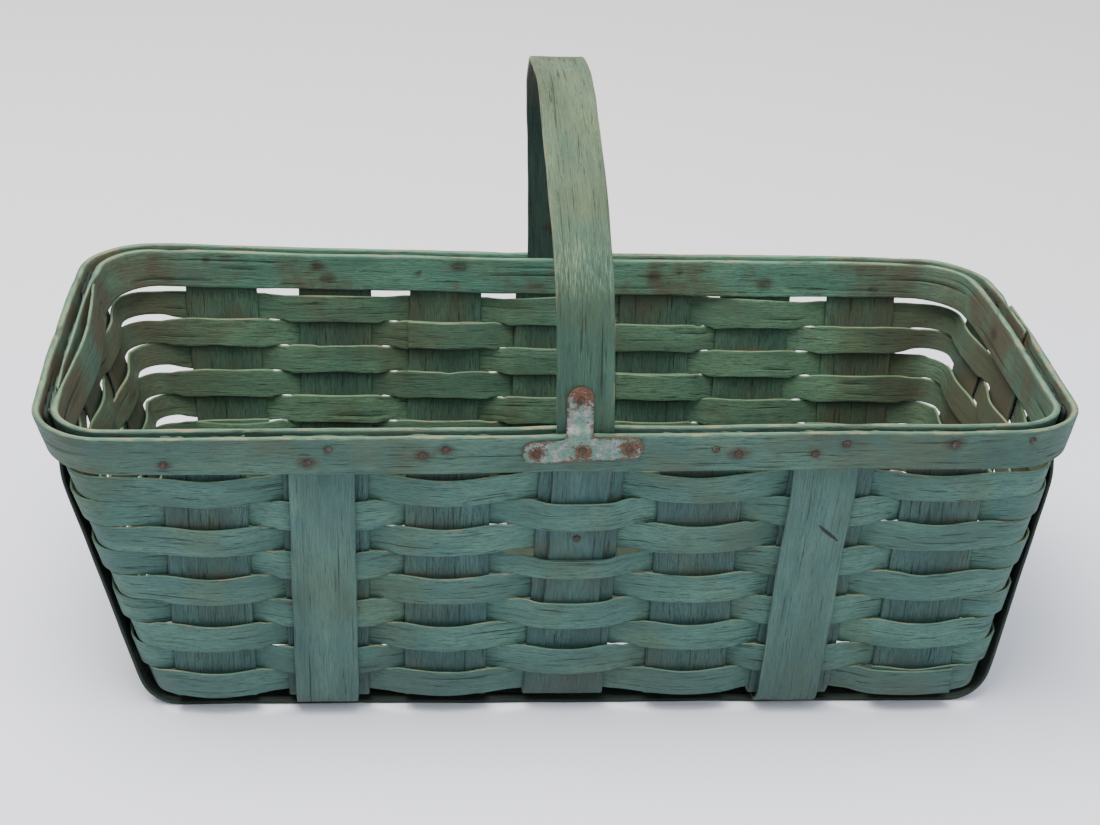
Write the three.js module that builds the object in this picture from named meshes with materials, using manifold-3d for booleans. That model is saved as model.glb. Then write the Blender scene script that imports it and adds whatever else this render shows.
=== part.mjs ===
// Splint gathering basket: a rectangular woven body with flared walls, a bent hoop handle across
// its middle, a double rim that traps every stave, nailed T braces and two runners to stand on.
// Millimetres, +Z up. +X runs along the basket's length, -Y is its front long side.
import * as THREE from 'three';
import { mergeVertices } from 'three/addons/utils/BufferGeometryUtils.js';
import Module from 'manifold-3d';

const wasm = await Module();
wasm.setup();

// ---- Driving dimensions -----------------------------------------------------------------------

const RIM_TOP = 182.5; // height of the rim's upper edge
const RIM_HEIGHT = 22.5;
const RIM_THICKNESS = 4.2;
const RIM_CORNER = 32; // corner radius of the staves' middle surface inside the rim
const LENGTH = 560; // over the outer rim
const DEPTH = 270; // over the outer rim

const STAVE_THICKNESS = 1.8;
const STAVE_WIDTH = 45;
const END_STAVE_SPACING = 71.5;
const RUNNER_SPACING = 81;
const STAVE_TOP = RIM_TOP - 2.5;
const STAVE_BEND = 7;
const BASE_LEVEL = 8; // middle of the cross staves where they form the base
const BASE_WEAVE = 2.3; // rise and fall of the long staves around that level

// Centre of each cross stave along X: at the front rim, at the base and at the back rim.
const CROSS_STAVES = [
  { name: 'a', front: -188, base: -186, back: -198 },
  { name: 'b', front: -124, base: -124, back: -126 },
  { name: 'c', front: -61, base: -60, back: -57 },
  { name: 'd', front: 10, base: 5, back: 9 },
  { name: 'e', front: 73, base: 73, back: 74 },
  { name: 'f', front: 144, base: 131, back: 137 },
  { name: 'g', front: 205, base: 200, back: 205 },
];
const LONG_STAVES = [
  { name: 'front', y: -END_STAVE_SPACING },
  { name: 'middle', y: 0 },
  { name: 'back', y: END_STAVE_SPACING },
];

const ROW_PITCH = 15.84;
const ROW_HEIGHT = 15.2;
const TOP_ROW = 147.7; // centre height of the uppermost weaver
const ROWS = 9;
const WEAVER_THICKNESS = 1.6;
const TOP_CORNER = 18; // weaver corner radius in the top row
const BOTTOM_CORNER = 12.5; // the same in the bottom row
const BULGE = 4.6; // how far a weaver's middle stands off the stave's middle where they cross
const TAIL_BULGE = 5.9; // the same where it also spans the handle's tail
const EDGE_STAND = 2.2; // the same at a stave's edge
const SAG = 1.3; // how far a weaver drops where it stands furthest out, and rises where it is furthest in
const LAP_STEP = WEAVER_THICKNESS + 0.35;

const STRAP_WIDTH = 35;
const STRAP_THICKNESS = 2;
const STRAP_STAND = 6.8; // strap middle to stave middle, over the weavers
const STRAP_TUCK = 2.3; // the same where the strap is tucked behind the outer rim
const STRAP_LEVEL = 3.3;
const STRAP_BEND = 18;
const RUNNER_LEVEL = 1;
const RUNNER_BEND = 20;

// Centre of each overlay strap along X, placed as the cross staves are.
const OVERLAY_STRAPS = [
  { name: 'left', front: -126, base: -125, back: -126 },
  { name: 'right', front: 139, base: 130, back: 137 },
];

const HANDLE_WIDTH = 31;
const HANDLE_THICKNESS = 3;
const HANDLE_STAND = 2.7;
const HANDLE_TOP = 337.8;
const HANDLE_SPRING = 244.7; // height where the straight legs start to arch
const HANDLE_DRIFT = -8; // sideways lean of the crown
const TAIL_END = 62;
const TAIL_THICKNESS = 2;

const BRACE_LENGTH = 62;
const BRACE_HEIGHT = 13;
const BRACE_THICKNESS = 1.5;
const BRACE_X = 8.5;
const BRACE_Z = 174;
const BRACE_TILT = 0.05;
const TAB_WIDTH = 14;
const TAB_TOP = 208;
const TAB_NAIL_Z = 201;

const NAIL_HEAD = 2;
const NAIL_SHANK = 0.9;
const NAIL_HOLE = 1.6;
const GAP = 0.3;

// The rim has racked with age: opposite corners have lifted, and the ends bow outward.
const RACK_TWIST = 3.5;
const RACK_RAISE = 1;
const END_BOW = 4;

// Distances from the staves' middle surface, outward positive.
const OUTER_RIM_FACE = 8.7;
const OUTER_RIM_BACK = OUTER_RIM_FACE - RIM_THICKNESS;
const INNER_RIM_FACE = -1.2;
const INNER_RIM_BACK = INNER_RIM_FACE - RIM_THICKNESS;
const LAP_SPRING = 4.5; // how far the inner rim's first end has sprung away from the lap

// ---- Walls --------------------------------------------------------------------------------------

const HALF_LENGTH = LENGTH / 2 - OUTER_RIM_FACE;
const HALF_DEPTH = DEPTH / 2 - OUTER_RIM_FACE;

// Each wall's middle surface leans outward from its foot: reach = rim reach - lean * depth below rim.
const WALLS = {
  front: { rim: HALF_DEPTH, lean: 0.124, sign: -1 },
  back: { rim: HALF_DEPTH, lean: 0.124, sign: 1 },
  left: { rim: HALF_LENGTH, lean: 0.2975, sign: -1 },
  right: { rim: HALF_LENGTH, lean: 0.1825, sign: 1 },
};

function reach(wall, z) {
  return wall.rim - wall.lean * Math.max(0, RIM_TOP - z);
}

// The basket's bowed ends, and its slight racking, which fades out at the base.
function rack(point) {
  const along = point.x / (LENGTH / 2);
  const across = point.y / (DEPTH / 2);
  const lift = Math.min(Math.max(point.z, 0) / RIM_TOP, 1);
  point.x -= END_BOW * along ** 3 * across ** 2;
  point.z += lift * (RACK_RAISE * 0.5 * (1 + across) - RACK_TWIST * along * across);
  return point;
}

// ---- Solids from sections ---------------------------------------------------------------------

// Lofts one closed solid through sections of four points each: a strip with square edges.
function loft(sections) {
  const positions = [];
  const index = [];
  for (const section of sections) {
    for (const corner of section) {
      positions.push(corner.x, corner.y, corner.z);
    }
  }
  const last = (sections.length - 1) * 4;
  for (let here = 0; here < last; here += 4) {
    const next = here + 4;
    for (let k = 0; k < 4; k++) {
      const l = (k + 1) % 4;
      index.push(here + k, next + k, next + l);
      index.push(here + k, next + l, here + l);
    }
  }
  index.push(0, 1, 2, 0, 2, 3);
  index.push(last, last + 2, last + 1, last, last + 3, last + 2);
  const geometry = new THREE.BufferGeometry();
  geometry.setAttribute('position', new THREE.Float32BufferAttribute(positions, 3));
  geometry.setIndex(index);
  return facingOut(geometry);
}

// Reverses the triangles of a solid that was built inside out.
function facingOut(geometry) {
  const position = geometry.getAttribute('position');
  const index = geometry.getIndex().array;
  const a = new THREE.Vector3();
  const b = new THREE.Vector3();
  const c = new THREE.Vector3();
  let volume = 0;
  for (let i = 0; i < index.length; i += 3) {
    a.fromBufferAttribute(position, index[i]);
    b.fromBufferAttribute(position, index[i + 1]);
    c.fromBufferAttribute(position, index[i + 2]);
    volume += a.dot(b.cross(c));
  }
  if (volume < 0) {
    for (let i = 0; i < index.length; i += 3) {
      const swap = index[i + 1];
      index[i + 1] = index[i + 2];
      index[i + 2] = swap;
    }
  }
  return geometry;
}

function toManifold(geometry) {
  const bare = new THREE.BufferGeometry();
  bare.setAttribute('position', geometry.getAttribute('position').clone());
  if (geometry.getIndex()) bare.setIndex(geometry.getIndex().clone());
  const merged = mergeVertices(bare, 1e-4);
  const vertProperties = Float32Array.from(merged.getAttribute('position').array);
  const triVerts = Uint32Array.from(merged.getIndex().array);
  return new wasm.Manifold(new wasm.Mesh({ numProp: 3, vertProperties, triVerts }));
}

function fromManifold(manifold) {
  const mesh = manifold.getMesh();
  const geometry = new THREE.BufferGeometry();
  geometry.setAttribute('position', new THREE.BufferAttribute(mesh.vertProperties, 3));
  geometry.setIndex(new THREE.BufferAttribute(mesh.triVerts, 1));
  return geometry;
}

// ---- Flat strips bent in one plane ------------------------------------------------------------

// A strip whose path lies in an upright plane. Each point has its place p along the plane, its height
// z, its thickness t and the strip's centre across the plane.
function planarStrip(path, width, widthAxis) {
  const sections = [];
  for (let i = 0; i < path.length; i++) {
    const before = path[Math.max(i - 1, 0)];
    const after = path[Math.min(i + 1, path.length - 1)];
    const here = path[i];
    const incoming = new THREE.Vector2(here.p - before.p, here.z - before.z);
    const outgoing = new THREE.Vector2(after.p - here.p, after.z - here.z);
    if (i === 0) incoming.copy(outgoing);
    if (i === path.length - 1) outgoing.copy(incoming);
    incoming.normalize();
    outgoing.normalize();
    const tangent = incoming.clone().add(outgoing).normalize();
    const half = here.t / 2 / tangent.dot(outgoing);
    const normal = new THREE.Vector2(-tangent.y * half, tangent.x * half);
    const section = [];
    for (const [side, edge] of [[1, -1], [1, 1], [-1, 1], [-1, -1]]) {
      const p = here.p + side * normal.x;
      const z = here.z + side * normal.y;
      const across = here.centre + edge * width / 2;
      section.push(widthAxis === 'x' ? new THREE.Vector3(across, p, z) : new THREE.Vector3(p, across, z));
    }
    sections.push(section);
  }
  return loft(sections);
}

// Points of the bend from a wall, at a given distance outside it, into a flat level underneath.
function footBend(wall, stand, level, radius, steps) {
  const slant = Math.hypot(1, wall.lean);
  const centreZ = level + radius;
  const centreReach = reach(wall, centreZ) + stand - radius * slant;
  const points = [];
  for (let i = 0; i <= steps; i++) {
    const angle = THREE.MathUtils.lerp(-Math.atan(wall.lean), -Math.PI / 2, i / steps);
    const p = wall.sign * (centreReach + radius * Math.cos(angle));
    points.push({ p, z: centreZ + radius * Math.sin(angle) });
  }
  return points;
}

// ---- Staves -----------------------------------------------------------------------------------

function staveCentre(stave, sign, z) {
  const rimX = sign < 0 ? stave.front : stave.back;
  return THREE.MathUtils.lerp(stave.base, rimX, Math.min(Math.max(z / RIM_TOP, 0), 1));
}

function crossStave(stave) {
  const half = (wall) => {
    const top = { p: wall.sign * reach(wall, STAVE_TOP), z: STAVE_TOP };
    const points = [top, ...footBend(wall, 0, BASE_LEVEL, STAVE_BEND, 4)];
    return points.map((point) => ({
      ...point,
      t: STAVE_THICKNESS,
      centre: staveCentre(stave, wall.sign, point.z),
    }));
  };
  const path = [...half(WALLS.front), ...half(WALLS.back).reverse()];
  return planarStrip(path, STAVE_WIDTH, 'x');
}

// A long stave weaves through the cross staves in the base and rises up both end walls.
function longStave(stave, phase) {
  const endLevel = BASE_LEVEL + phase * BASE_WEAVE;
  const end = (wall) => {
    const top = { p: wall.sign * reach(wall, STAVE_TOP), z: STAVE_TOP };
    return [top, ...footBend(wall, 0, endLevel, STAVE_BEND, 4)];
  };
  const weave = [];
  CROSS_STAVES.forEach((cross, i) => {
    const level = BASE_LEVEL + (i % 2 === 0 ? phase : -phase) * BASE_WEAVE;
    const half = STAVE_WIDTH / 2 + 1;
    if (i > 0) weave.push({ p: cross.base - half, z: level });
    if (i < CROSS_STAVES.length - 1) weave.push({ p: cross.base + half, z: level });
  });
  const path = [...end(WALLS.left), ...weave, ...end(WALLS.right).reverse()];
  const full = path.map((point) => ({ ...point, t: STAVE_THICKNESS, centre: stave.y }));
  return planarStrip(full, STAVE_WIDTH, 'y');
}

// ---- Straps and runners -----------------------------------------------------------------------

const STRAP_LEAVES_RIM = RIM_TOP - RIM_HEIGHT - 2;
const STRAP_MEETS_ROW = TOP_ROW - ROW_PITCH + ROW_HEIGHT / 2 + 1.6;

function strapEnd(wall, level, radius, steps) {
  const outside = [
    [STAVE_TOP, STRAP_TUCK],
    [STRAP_LEAVES_RIM, STRAP_TUCK],
    [STRAP_MEETS_ROW, STRAP_STAND],
  ];
  const points = outside.map(([z, stand]) => ({ p: wall.sign * (reach(wall, z) + stand), z }));
  return [...points, ...footBend(wall, STRAP_STAND, level, radius, steps)];
}

function overlayStrap(strap) {
  const half = (wall) => strapEnd(wall, STRAP_LEVEL, STRAP_BEND, 6).map((point) => ({
    ...point,
    t: STRAP_THICKNESS,
    centre: staveCentre(strap, wall.sign, point.z),
  }));
  return planarStrip([...half(WALLS.front), ...half(WALLS.back).reverse()], STRAP_WIDTH, 'x');
}

function runner(y) {
  const half = (wall) => strapEnd(wall, RUNNER_LEVEL, RUNNER_BEND, 6).map((point) => ({
    ...point,
    t: STRAP_THICKNESS,
    centre: y,
  }));
  return planarStrip([...half(WALLS.left), ...half(WALLS.right).reverse()], STRAP_WIDTH, 'y');
}

// ---- Hoops round the wall ---------------------------------------------------------------------

// A stop on the way round: on a straight wall at a fixed place, or on a corner at a turning angle.
function onWall(wallName, along, extra) {
  return { wallName, along, ...extra };
}

function onCorner(endName, sideName, turn) {
  return { endName, sideName, turn };
}

function locate(stop, z, stand, corner) {
  if (stop.wallName) {
    const wall = WALLS[stop.wallName];
    const out = wall.sign * (reach(wall, z) + stand);
    const upright = stop.wallName === 'front' || stop.wallName === 'back';
    return upright ? new THREE.Vector3(stop.along, out, z) : new THREE.Vector3(out, stop.along, z);
  }
  const end = WALLS[stop.endName];
  const side = WALLS[stop.sideName];
  const radius = corner + stand;
  const x = reach(end, z) - corner + radius * Math.sin(stop.turn);
  const y = reach(side, z) - corner + radius * Math.cos(stop.turn);
  return new THREE.Vector3(end.sign * x, side.sign * y, z);
}

function weaverCorner(z) {
  const bottomRow = TOP_ROW - (ROWS - 1) * ROW_PITCH;
  return THREE.MathUtils.mapLinear(z, bottomRow, TOP_ROW, BOTTOM_CORNER, TOP_CORNER);
}

function cornerStops(endName, sideName, towardEnd, steps) {
  const stops = [];
  for (let i = 0; i <= steps; i++) {
    const share = towardEnd ? i / steps : 1 - i / steps;
    stops.push(onCorner(endName, sideName, share * Math.PI / 2));
  }
  return stops;
}

// The stops at one stave for a weaver that passes it outside (out = 1) or inside (out = -1).
function staveStops(wallName, stave, centre, width, out, direction, tail) {
  const stops = [];
  const edge = width / 2 + 0.6;
  const marks = tail ? [-edge, -HANDLE_WIDTH / 2 - 1, 0, HANDLE_WIDTH / 2 + 1, edge] : [-edge, 0, edge];
  const stands = tail ? [2.9, 4.6, TAIL_BULGE, 4.6, 2.9] : [EDGE_STAND, BULGE, EDGE_STAND];
  marks.forEach((mark, i) => {
    stops.push(onWall(wallName, centre + direction * mark, { stave, stand: out * stands[i] }));
  });
  return stops;
}

// All stops of one weaver, from the front wall's left stave counter-clockwise round the basket.
function weaverStops(row) {
  const z = TOP_ROW - row * ROW_PITCH;
  const odd = row % 2 === 0;
  const tailRow = !odd && z - ROW_HEIGHT / 2 > TAIL_END - ROW_HEIGHT;
  const stops = [];
  CROSS_STAVES.forEach((stave, i) => {
    const out = (i % 2 === 0) === odd ? 1 : -1;
    const tail = tailRow && stave.name === 'd';
    stops.push(...staveStops('front', stave.name, staveCentre(stave, -1, z), STAVE_WIDTH, out, 1, tail));
  });
  stops.push(...cornerStops('right', 'front', true, 4));
  LONG_STAVES.forEach((stave, i) => {
    const out = (i % 2 === 1) === odd ? 1 : -1;
    stops.push(...staveStops('right', stave.name, stave.y, STAVE_WIDTH, out, 1, false));
  });
  stops.push(...cornerStops('right', 'back', false, 4));
  [...CROSS_STAVES].reverse().forEach((stave, i) => {
    const out = (i % 2 === 0) === odd ? 1 : -1;
    const tail = tailRow && stave.name === 'd';
    stops.push(...staveStops('back', stave.name, staveCentre(stave, 1, z), STAVE_WIDTH, out, -1, tail));
  });
  stops.push(...cornerStops('left', 'back', true, 4));
  [...LONG_STAVES].reverse().forEach((stave, i) => {
    const out = (i % 2 === 1) === odd ? 1 : -1;
    stops.push(...staveStops('left', stave.name, stave.y, STAVE_WIDTH, out, -1, false));
  });
  stops.push(...cornerStops('left', 'front', false, 4));
  fillStands(stops, z);
  return stops;
}

// Corner stops take a stand between those of the staves on either side, by distance.
function fillStands(stops, z) {
  const places = stops.map((stop) => locate(stop, z, 0, weaverCorner(z)));
  const count = stops.length;
  for (let i = 0; i < count; i++) {
    if (stops[i].stand !== undefined) continue;
    let last = i;
    while (stops[last % count].stand === undefined) last++;
    const run = [];
    let total = 0;
    for (let k = i; k <= last; k++) {
      total += places[(k - 1 + count) % count].distanceTo(places[k % count]);
      run.push(total);
    }
    const from = stops[(i - 1 + count) % count].stand;
    const to = stops[last % count].stand;
    for (let k = i; k < last; k++) {
      stops[k % count].stand = THREE.MathUtils.lerp(from, to, run[k - i] / total);
    }
  }
}

// A weaver's drop at one stop: none while it crosses between staves, all of it over a stave's middle.
function sag(stand) {
  const share = (Math.abs(stand) - WEAVER_THICKNESS) / (BULGE - WEAVER_THICKNESS);
  return SAG * Math.sign(stand) * Math.min(Math.max(share, 0), 1);
}

// The strip's two ends lap over one stave: the second pass lies on the first, on its far side.
function weaver(row, lapWall, lapStave) {
  const z = TOP_ROW - row * ROW_PITCH;
  const corner = weaverCorner(z);
  const stops = weaverStops(row);
  const lapStart = stops.findIndex((stop) => stop.wallName === lapWall && stop.stave === lapStave);
  const ordered = [...stops.slice(lapStart), ...stops.slice(0, lapStart)];
  const step = Math.sign(ordered[0].stand) * LAP_STEP;
  const lap = ordered.slice(0, 3).map((stop) => ({ ...stop, stand: stop.stand + step }));
  const sections = [...ordered, ...lap].map((stop) => {
    const inner = stop.stand - WEAVER_THICKNESS / 2;
    const outer = stop.stand + WEAVER_THICKNESS / 2;
    const middle = z - sag(stop.stand);
    const low = middle - ROW_HEIGHT / 2;
    const high = middle + ROW_HEIGHT / 2;
    return [
      locate(stop, low, inner, corner),
      locate(stop, low, outer, corner),
      locate(stop, high, outer, corner),
      locate(stop, high, inner, corner),
    ];
  });
  return loft(sections);
}

// A rim strip goes once round and its ends are thinned where they lap on one end wall. Its first end
// lies on the basket's inner side of the lap, and may have sprung away from the other.
function rim(face, back, lapWall, lapStart, lapEnd, spring) {
  const steps = 7;
  const direction = lapWall === 'right' ? 1 : -1;
  const middle = (face + back) / 2;
  const whole = [face, back];
  const shares = [0, 0.25, 0.5, 0.75, 1];
  const firstEnd = shares.map((share) => {
    const sprung = spring * Math.sin(Math.PI * share);
    const layer = [middle - GAP / 2 - sprung, back - sprung];
    return { ...onWall(lapWall, direction * THREE.MathUtils.lerp(lapStart, lapEnd, share)), layer };
  });
  const lastEnd = firstEnd.map((stop) => ({ ...stop, layer: [face, middle + GAP / 2] }));
  const other = lapWall === 'right' ? 'left' : 'right';
  const [firstSide, secondSide] = lapWall === 'right' ? ['back', 'front'] : ['front', 'back'];
  const stops = [
    ...firstEnd,
    { ...onWall(lapWall, direction * (lapEnd + 22)), layer: whole },
    ...cornerStops(lapWall, firstSide, false, steps),
    ...cornerStops(other, firstSide, true, steps),
    ...[50, 0, -50].map((along) => onWall(other, direction * along)),
    ...cornerStops(other, secondSide, false, steps),
    ...cornerStops(lapWall, secondSide, true, steps),
    { ...onWall(lapWall, direction * (lapStart - 22)), layer: whole },
    ...lastEnd,
  ];
  const sections = stops.map((stop) => {
    const [outer, inner] = stop.layer ?? whole;
    const low = RIM_TOP - RIM_HEIGHT;
    return [
      locate(stop, low, inner, RIM_CORNER),
      locate(stop, low, outer, RIM_CORNER),
      locate(stop, RIM_TOP, outer, RIM_CORNER),
      locate(stop, RIM_TOP, inner, RIM_CORNER),
    ];
  });
  return loft(sections);
}

// ---- Handle -----------------------------------------------------------------------------------

function handle() {
  const stave = CROSS_STAVES[3];
  const tailStand = HANDLE_STAND - (HANDLE_THICKNESS - TAIL_THICKNESS) / 2;
  const leg = (wall) => [
    { z: TAIL_END, stand: tailStand, t: TAIL_THICKNESS },
    { z: RIM_TOP - RIM_HEIGHT - 6, stand: tailStand, t: TAIL_THICKNESS },
    { z: RIM_TOP - RIM_HEIGHT + 2, stand: HANDLE_STAND, t: HANDLE_THICKNESS },
    { z: RIM_TOP, stand: HANDLE_STAND, t: HANDLE_THICKNESS },
  ].map(({ z, stand, t }) => ({
    p: wall.sign * (reach(wall, z) + stand),
    z,
    t,
    centre: staveCentre(stave, wall.sign, z),
  }));
  const steps = 20;
  const halfSpan = HALF_DEPTH + HANDLE_STAND;
  const rise = HANDLE_TOP - HANDLE_THICKNESS / 2 - HANDLE_SPRING;
  const arch = [];
  for (let i = 0; i <= steps; i++) {
    const angle = Math.PI * (1 - i / steps);
    const z = HANDLE_SPRING + rise * Math.sin(angle);
    const p = halfSpan * Math.cos(angle);
    const drift = HANDLE_DRIFT * ((z - RIM_TOP) / (HANDLE_TOP - RIM_TOP)) ** 1.5;
    const foot = staveCentre(stave, Math.sign(p) || 1, RIM_TOP);
    arch.push({ p, z, t: HANDLE_THICKNESS, centre: foot + drift });
  }
  const path = [...leg(WALLS.front), ...arch, ...leg(WALLS.back).reverse()];
  return planarStrip(path, HANDLE_WIDTH, 'x');
}

// ---- T braces ---------------------------------------------------------------------------------

// Carries a flat plate drawn in X and Z onto the front or back wall, its thickness outward.
function plateOnWall(shape, wall, stand, thickness) {
  const geometry = new THREE.ExtrudeGeometry(shape, {
    depth: thickness,
    bevelEnabled: false,
    curveSegments: 5,
  });
  const position = geometry.getAttribute('position');
  for (let i = 0; i < position.count; i++) {
    const x = position.getX(i);
    const z = position.getY(i);
    const out = stand + position.getZ(i);
    position.setXYZ(i, x, wall.sign * (reach(wall, z) + out), z);
  }
  geometry.deleteAttribute('normal');
  geometry.deleteAttribute('uv');
  return facingOut(mergeVertices(geometry, 1e-4));
}

function braceBar() {
  const end = BRACE_HEIGHT * 0.42;
  const halfX = BRACE_LENGTH / 2;
  const halfZ = BRACE_HEIGHT / 2;
  const corner = (x, z) => new THREE.Vector2(x, z)
    .rotateAround(new THREE.Vector2(0, 0), BRACE_TILT)
    .add(new THREE.Vector2(BRACE_X, BRACE_Z));
  const points = [];
  for (const [sx, sz, start] of [[1, 1, 0], [-1, 1, 1], [-1, -1, 2], [1, -1, 3]]) {
    for (let i = 0; i <= 4; i++) {
      const angle = (start + i / 4) * Math.PI / 2;
      const x = sx * (halfX - end) + end * Math.cos(angle);
      const z = sz * (halfZ - end) + end * Math.sin(angle);
      points.push(corner(x, z));
    }
  }
  return new THREE.Shape(points);
}

function braceTab() {
  const shape = new THREE.Shape();
  const half = TAB_WIDTH / 2;
  const x = BRACE_X - 1.5;
  shape.moveTo(x - half, RIM_TOP + 2.5);
  shape.lineTo(x + half, RIM_TOP + 2.5);
  shape.lineTo(x + half, TAB_TOP - half);
  shape.absarc(x, TAB_TOP - half, half, 0, Math.PI, false);
  return shape;
}

function brace(wall) {
  const barStand = OUTER_RIM_FACE + GAP;
  const tabStand = HANDLE_STAND + HANDLE_THICKNESS / 2 + GAP;
  const bar = plateOnWall(braceBar(), wall, barStand, BRACE_THICKNESS);
  const tab = plateOnWall(braceTab(), wall, tabStand, BRACE_THICKNESS);
  const middle = BRACE_THICKNESS / 2;
  const step = [
    { stand: barStand + middle, z: BRACE_Z },
    { stand: barStand + middle, z: RIM_TOP + GAP },
    { stand: barStand + middle - 0.9, z: RIM_TOP + GAP + 1.8 },
    { stand: tabStand + middle + 1.2, z: RIM_TOP + GAP + 2.6 },
    { stand: tabStand + middle, z: RIM_TOP + 4.6 },
    { stand: tabStand + middle, z: RIM_TOP + 12 },
  ];
  const path = step.map(({ stand, z }) => ({
    p: wall.sign * (reach(wall, z) + stand),
    z,
    t: BRACE_THICKNESS,
    centre: BRACE_X - 1.5,
  }));
  const neck = planarStrip(path, TAB_WIDTH - 0.02, 'x');
  return fromManifold(toManifold(bar).add(toManifold(tab)).add(toManifold(neck)));
}

// ---- Nails ------------------------------------------------------------------------------------

// Where a nail goes in: its place on a wall, the face it bears on and how deep it reaches.
function nailOn(name, wallName, along, z, face, depth) {
  return { name, wallName, along, z, face, depth };
}

const RIM_NAIL_DEPTH = OUTER_RIM_FACE - INNER_RIM_BACK - 0.6;
const RIM_NAILS = [
  ['front', -208, 167], ['front', -133, 168], ['front', -122, 176], ['front', -74, 172],
  ['front', -62, 175], ['front', 78, 174], ['front', 90, 171], ['front', 130, 170],
  ['front', 146, 176], ['front', 204, 176],
  ['back', -205, 177], ['back', -136, 175], ['back', -130, 168], ['back', -75, 172],
  ['back', -49, 177], ['back', 72, 173], ['back', 87, 175], ['back', 141, 169],
  ['back', 211, 166],
  ['left', 72, 171], ['right', 30, 172],
];

const nails = RIM_NAILS.map(([wall, along, z], i) => (
  nailOn(`rim_nail_${String(i + 1).padStart(2, '0')}`, wall, along, z, OUTER_RIM_FACE, RIM_NAIL_DEPTH)
));
nails.push({
  name: 'rim_nail_corner',
  ...onCorner('right', 'front', 0.2),
  z: 177,
  face: OUTER_RIM_FACE,
  depth: RIM_NAIL_DEPTH,
});
for (const side of ['front', 'back']) {
  const barFace = OUTER_RIM_FACE + GAP + BRACE_THICKNESS;
  [-24, 0, 24].forEach((x, i) => {
    const z = BRACE_Z + x * BRACE_TILT;
    const name = `brace_nail_${side}_${i + 1}`;
    nails.push(nailOn(name, side, BRACE_X + x, z, barFace, barFace - INNER_RIM_BACK - 0.6));
  });
  const tabFace = HANDLE_STAND + HANDLE_THICKNESS / 2 + GAP + BRACE_THICKNESS;
  nails.push(nailOn(`tab_nail_${side}`, side, BRACE_X - 1.5, TAB_NAIL_Z, tabFace, 4.6));
  const tailFace = TAIL_THICKNESS + STAVE_THICKNESS / 2 + GAP;
  nails.push(nailOn(`tail_nail_${side}`, side, 8, TOP_ROW - 2 * ROW_PITCH, tailFace, 3.9));
}

function nailPose(nail) {
  if (nail.turn !== undefined) {
    const stop = onCorner(nail.endName, nail.sideName, nail.turn);
    const foot = locate(stop, nail.z, nail.face, RIM_CORNER);
    const x = WALLS[nail.endName].sign * Math.sin(nail.turn);
    const y = WALLS[nail.sideName].sign * Math.cos(nail.turn);
    return { foot, out: new THREE.Vector3(x, y, -WALLS[nail.sideName].lean).normalize() };
  }
  const wall = WALLS[nail.wallName];
  const foot = locate(onWall(nail.wallName, nail.along), nail.z, nail.face, 0);
  const lean = nail.z > RIM_TOP ? 0 : wall.lean;
  const upright = nail.wallName === 'front' || nail.wallName === 'back';
  const out = upright ? new THREE.Vector3(0, wall.sign, -lean) : new THREE.Vector3(wall.sign, 0, -lean);
  return { foot, out: out.normalize() };
}

function nailGeometry(depth) {
  const points = [
    new THREE.Vector2(0, -depth),
    new THREE.Vector2(NAIL_SHANK, -depth + 2),
    new THREE.Vector2(NAIL_SHANK, GAP),
    new THREE.Vector2(NAIL_HEAD, GAP),
    new THREE.Vector2(NAIL_HEAD, GAP + 0.6),
    new THREE.Vector2(0, GAP + 1.05),
  ];
  return new THREE.LatheGeometry(points, 6);
}

function nailHole(nail) {
  const length = nail.depth + 6;
  const geometry = new THREE.CylinderGeometry(NAIL_HOLE, NAIL_HOLE, length, 6);
  const { foot, out } = nailPose(nail);
  const turn = new THREE.Quaternion().setFromUnitVectors(new THREE.Vector3(0, 1, 0), out);
  geometry.translate(0, -length / 2 + 2, 0);
  geometry.applyQuaternion(turn);
  geometry.translate(foot.x, foot.y, foot.z);
  return toManifold(geometry);
}

const holes = nails.map((nail) => ({ cutter: nailHole(nail), foot: nailPose(nail).foot }));

// Drills the nails' holes through a piece.
function drilled(geometry) {
  geometry.computeBoundingBox();
  const box = geometry.boundingBox.clone().expandByScalar(16);
  const near = holes.filter((hole) => box.containsPoint(hole.foot));
  const bored = near.reduce((solid, hole) => solid.subtract(hole.cutter), toManifold(geometry));
  return fromManifold(bored);
}

// ---- Assembly ---------------------------------------------------------------------------------

function paint(color, roughness) {
  return new THREE.MeshStandardMaterial({ color, roughness, metalness: 0 });
}

const basket = new THREE.Group();

function addPiece(name, geometry, material) {
  const position = geometry.getAttribute('position');
  const point = new THREE.Vector3();
  for (let i = 0; i < position.count; i++) {
    rack(point.fromBufferAttribute(position, i));
    position.setXYZ(i, point.x, point.y, point.z);
  }
  const mesh = new THREE.Mesh(geometry, material);
  mesh.name = name;
  basket.add(mesh);
}

for (const stave of CROSS_STAVES) {
  addPiece(`cross_stave_${stave.name}`, drilled(crossStave(stave)), paint(0x3f6d63, 0.85));
}
LONG_STAVES.forEach((stave, i) => {
  const phase = i % 2 === 1 ? 1 : -1;
  addPiece(`long_stave_${stave.name}`, drilled(longStave(stave, phase)), paint(0x3d6a5f, 0.85));
});

// The stave over which each weaver's two ends lap, from the top row down.
const LAPS = [
  ['back', 'e'], ['back', 'c'], ['back', 'g'], ['back', 'e'], ['back', 'c'],
  ['back', 'a'], ['back', 'e'], ['back', 'g'], ['front', 'g'],
];
LAPS.forEach(([wall, stave], row) => {
  addPiece(`weaver_row_${row + 1}`, weaver(row, wall, stave), paint(0x4a7c70, 0.8));
});

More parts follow.
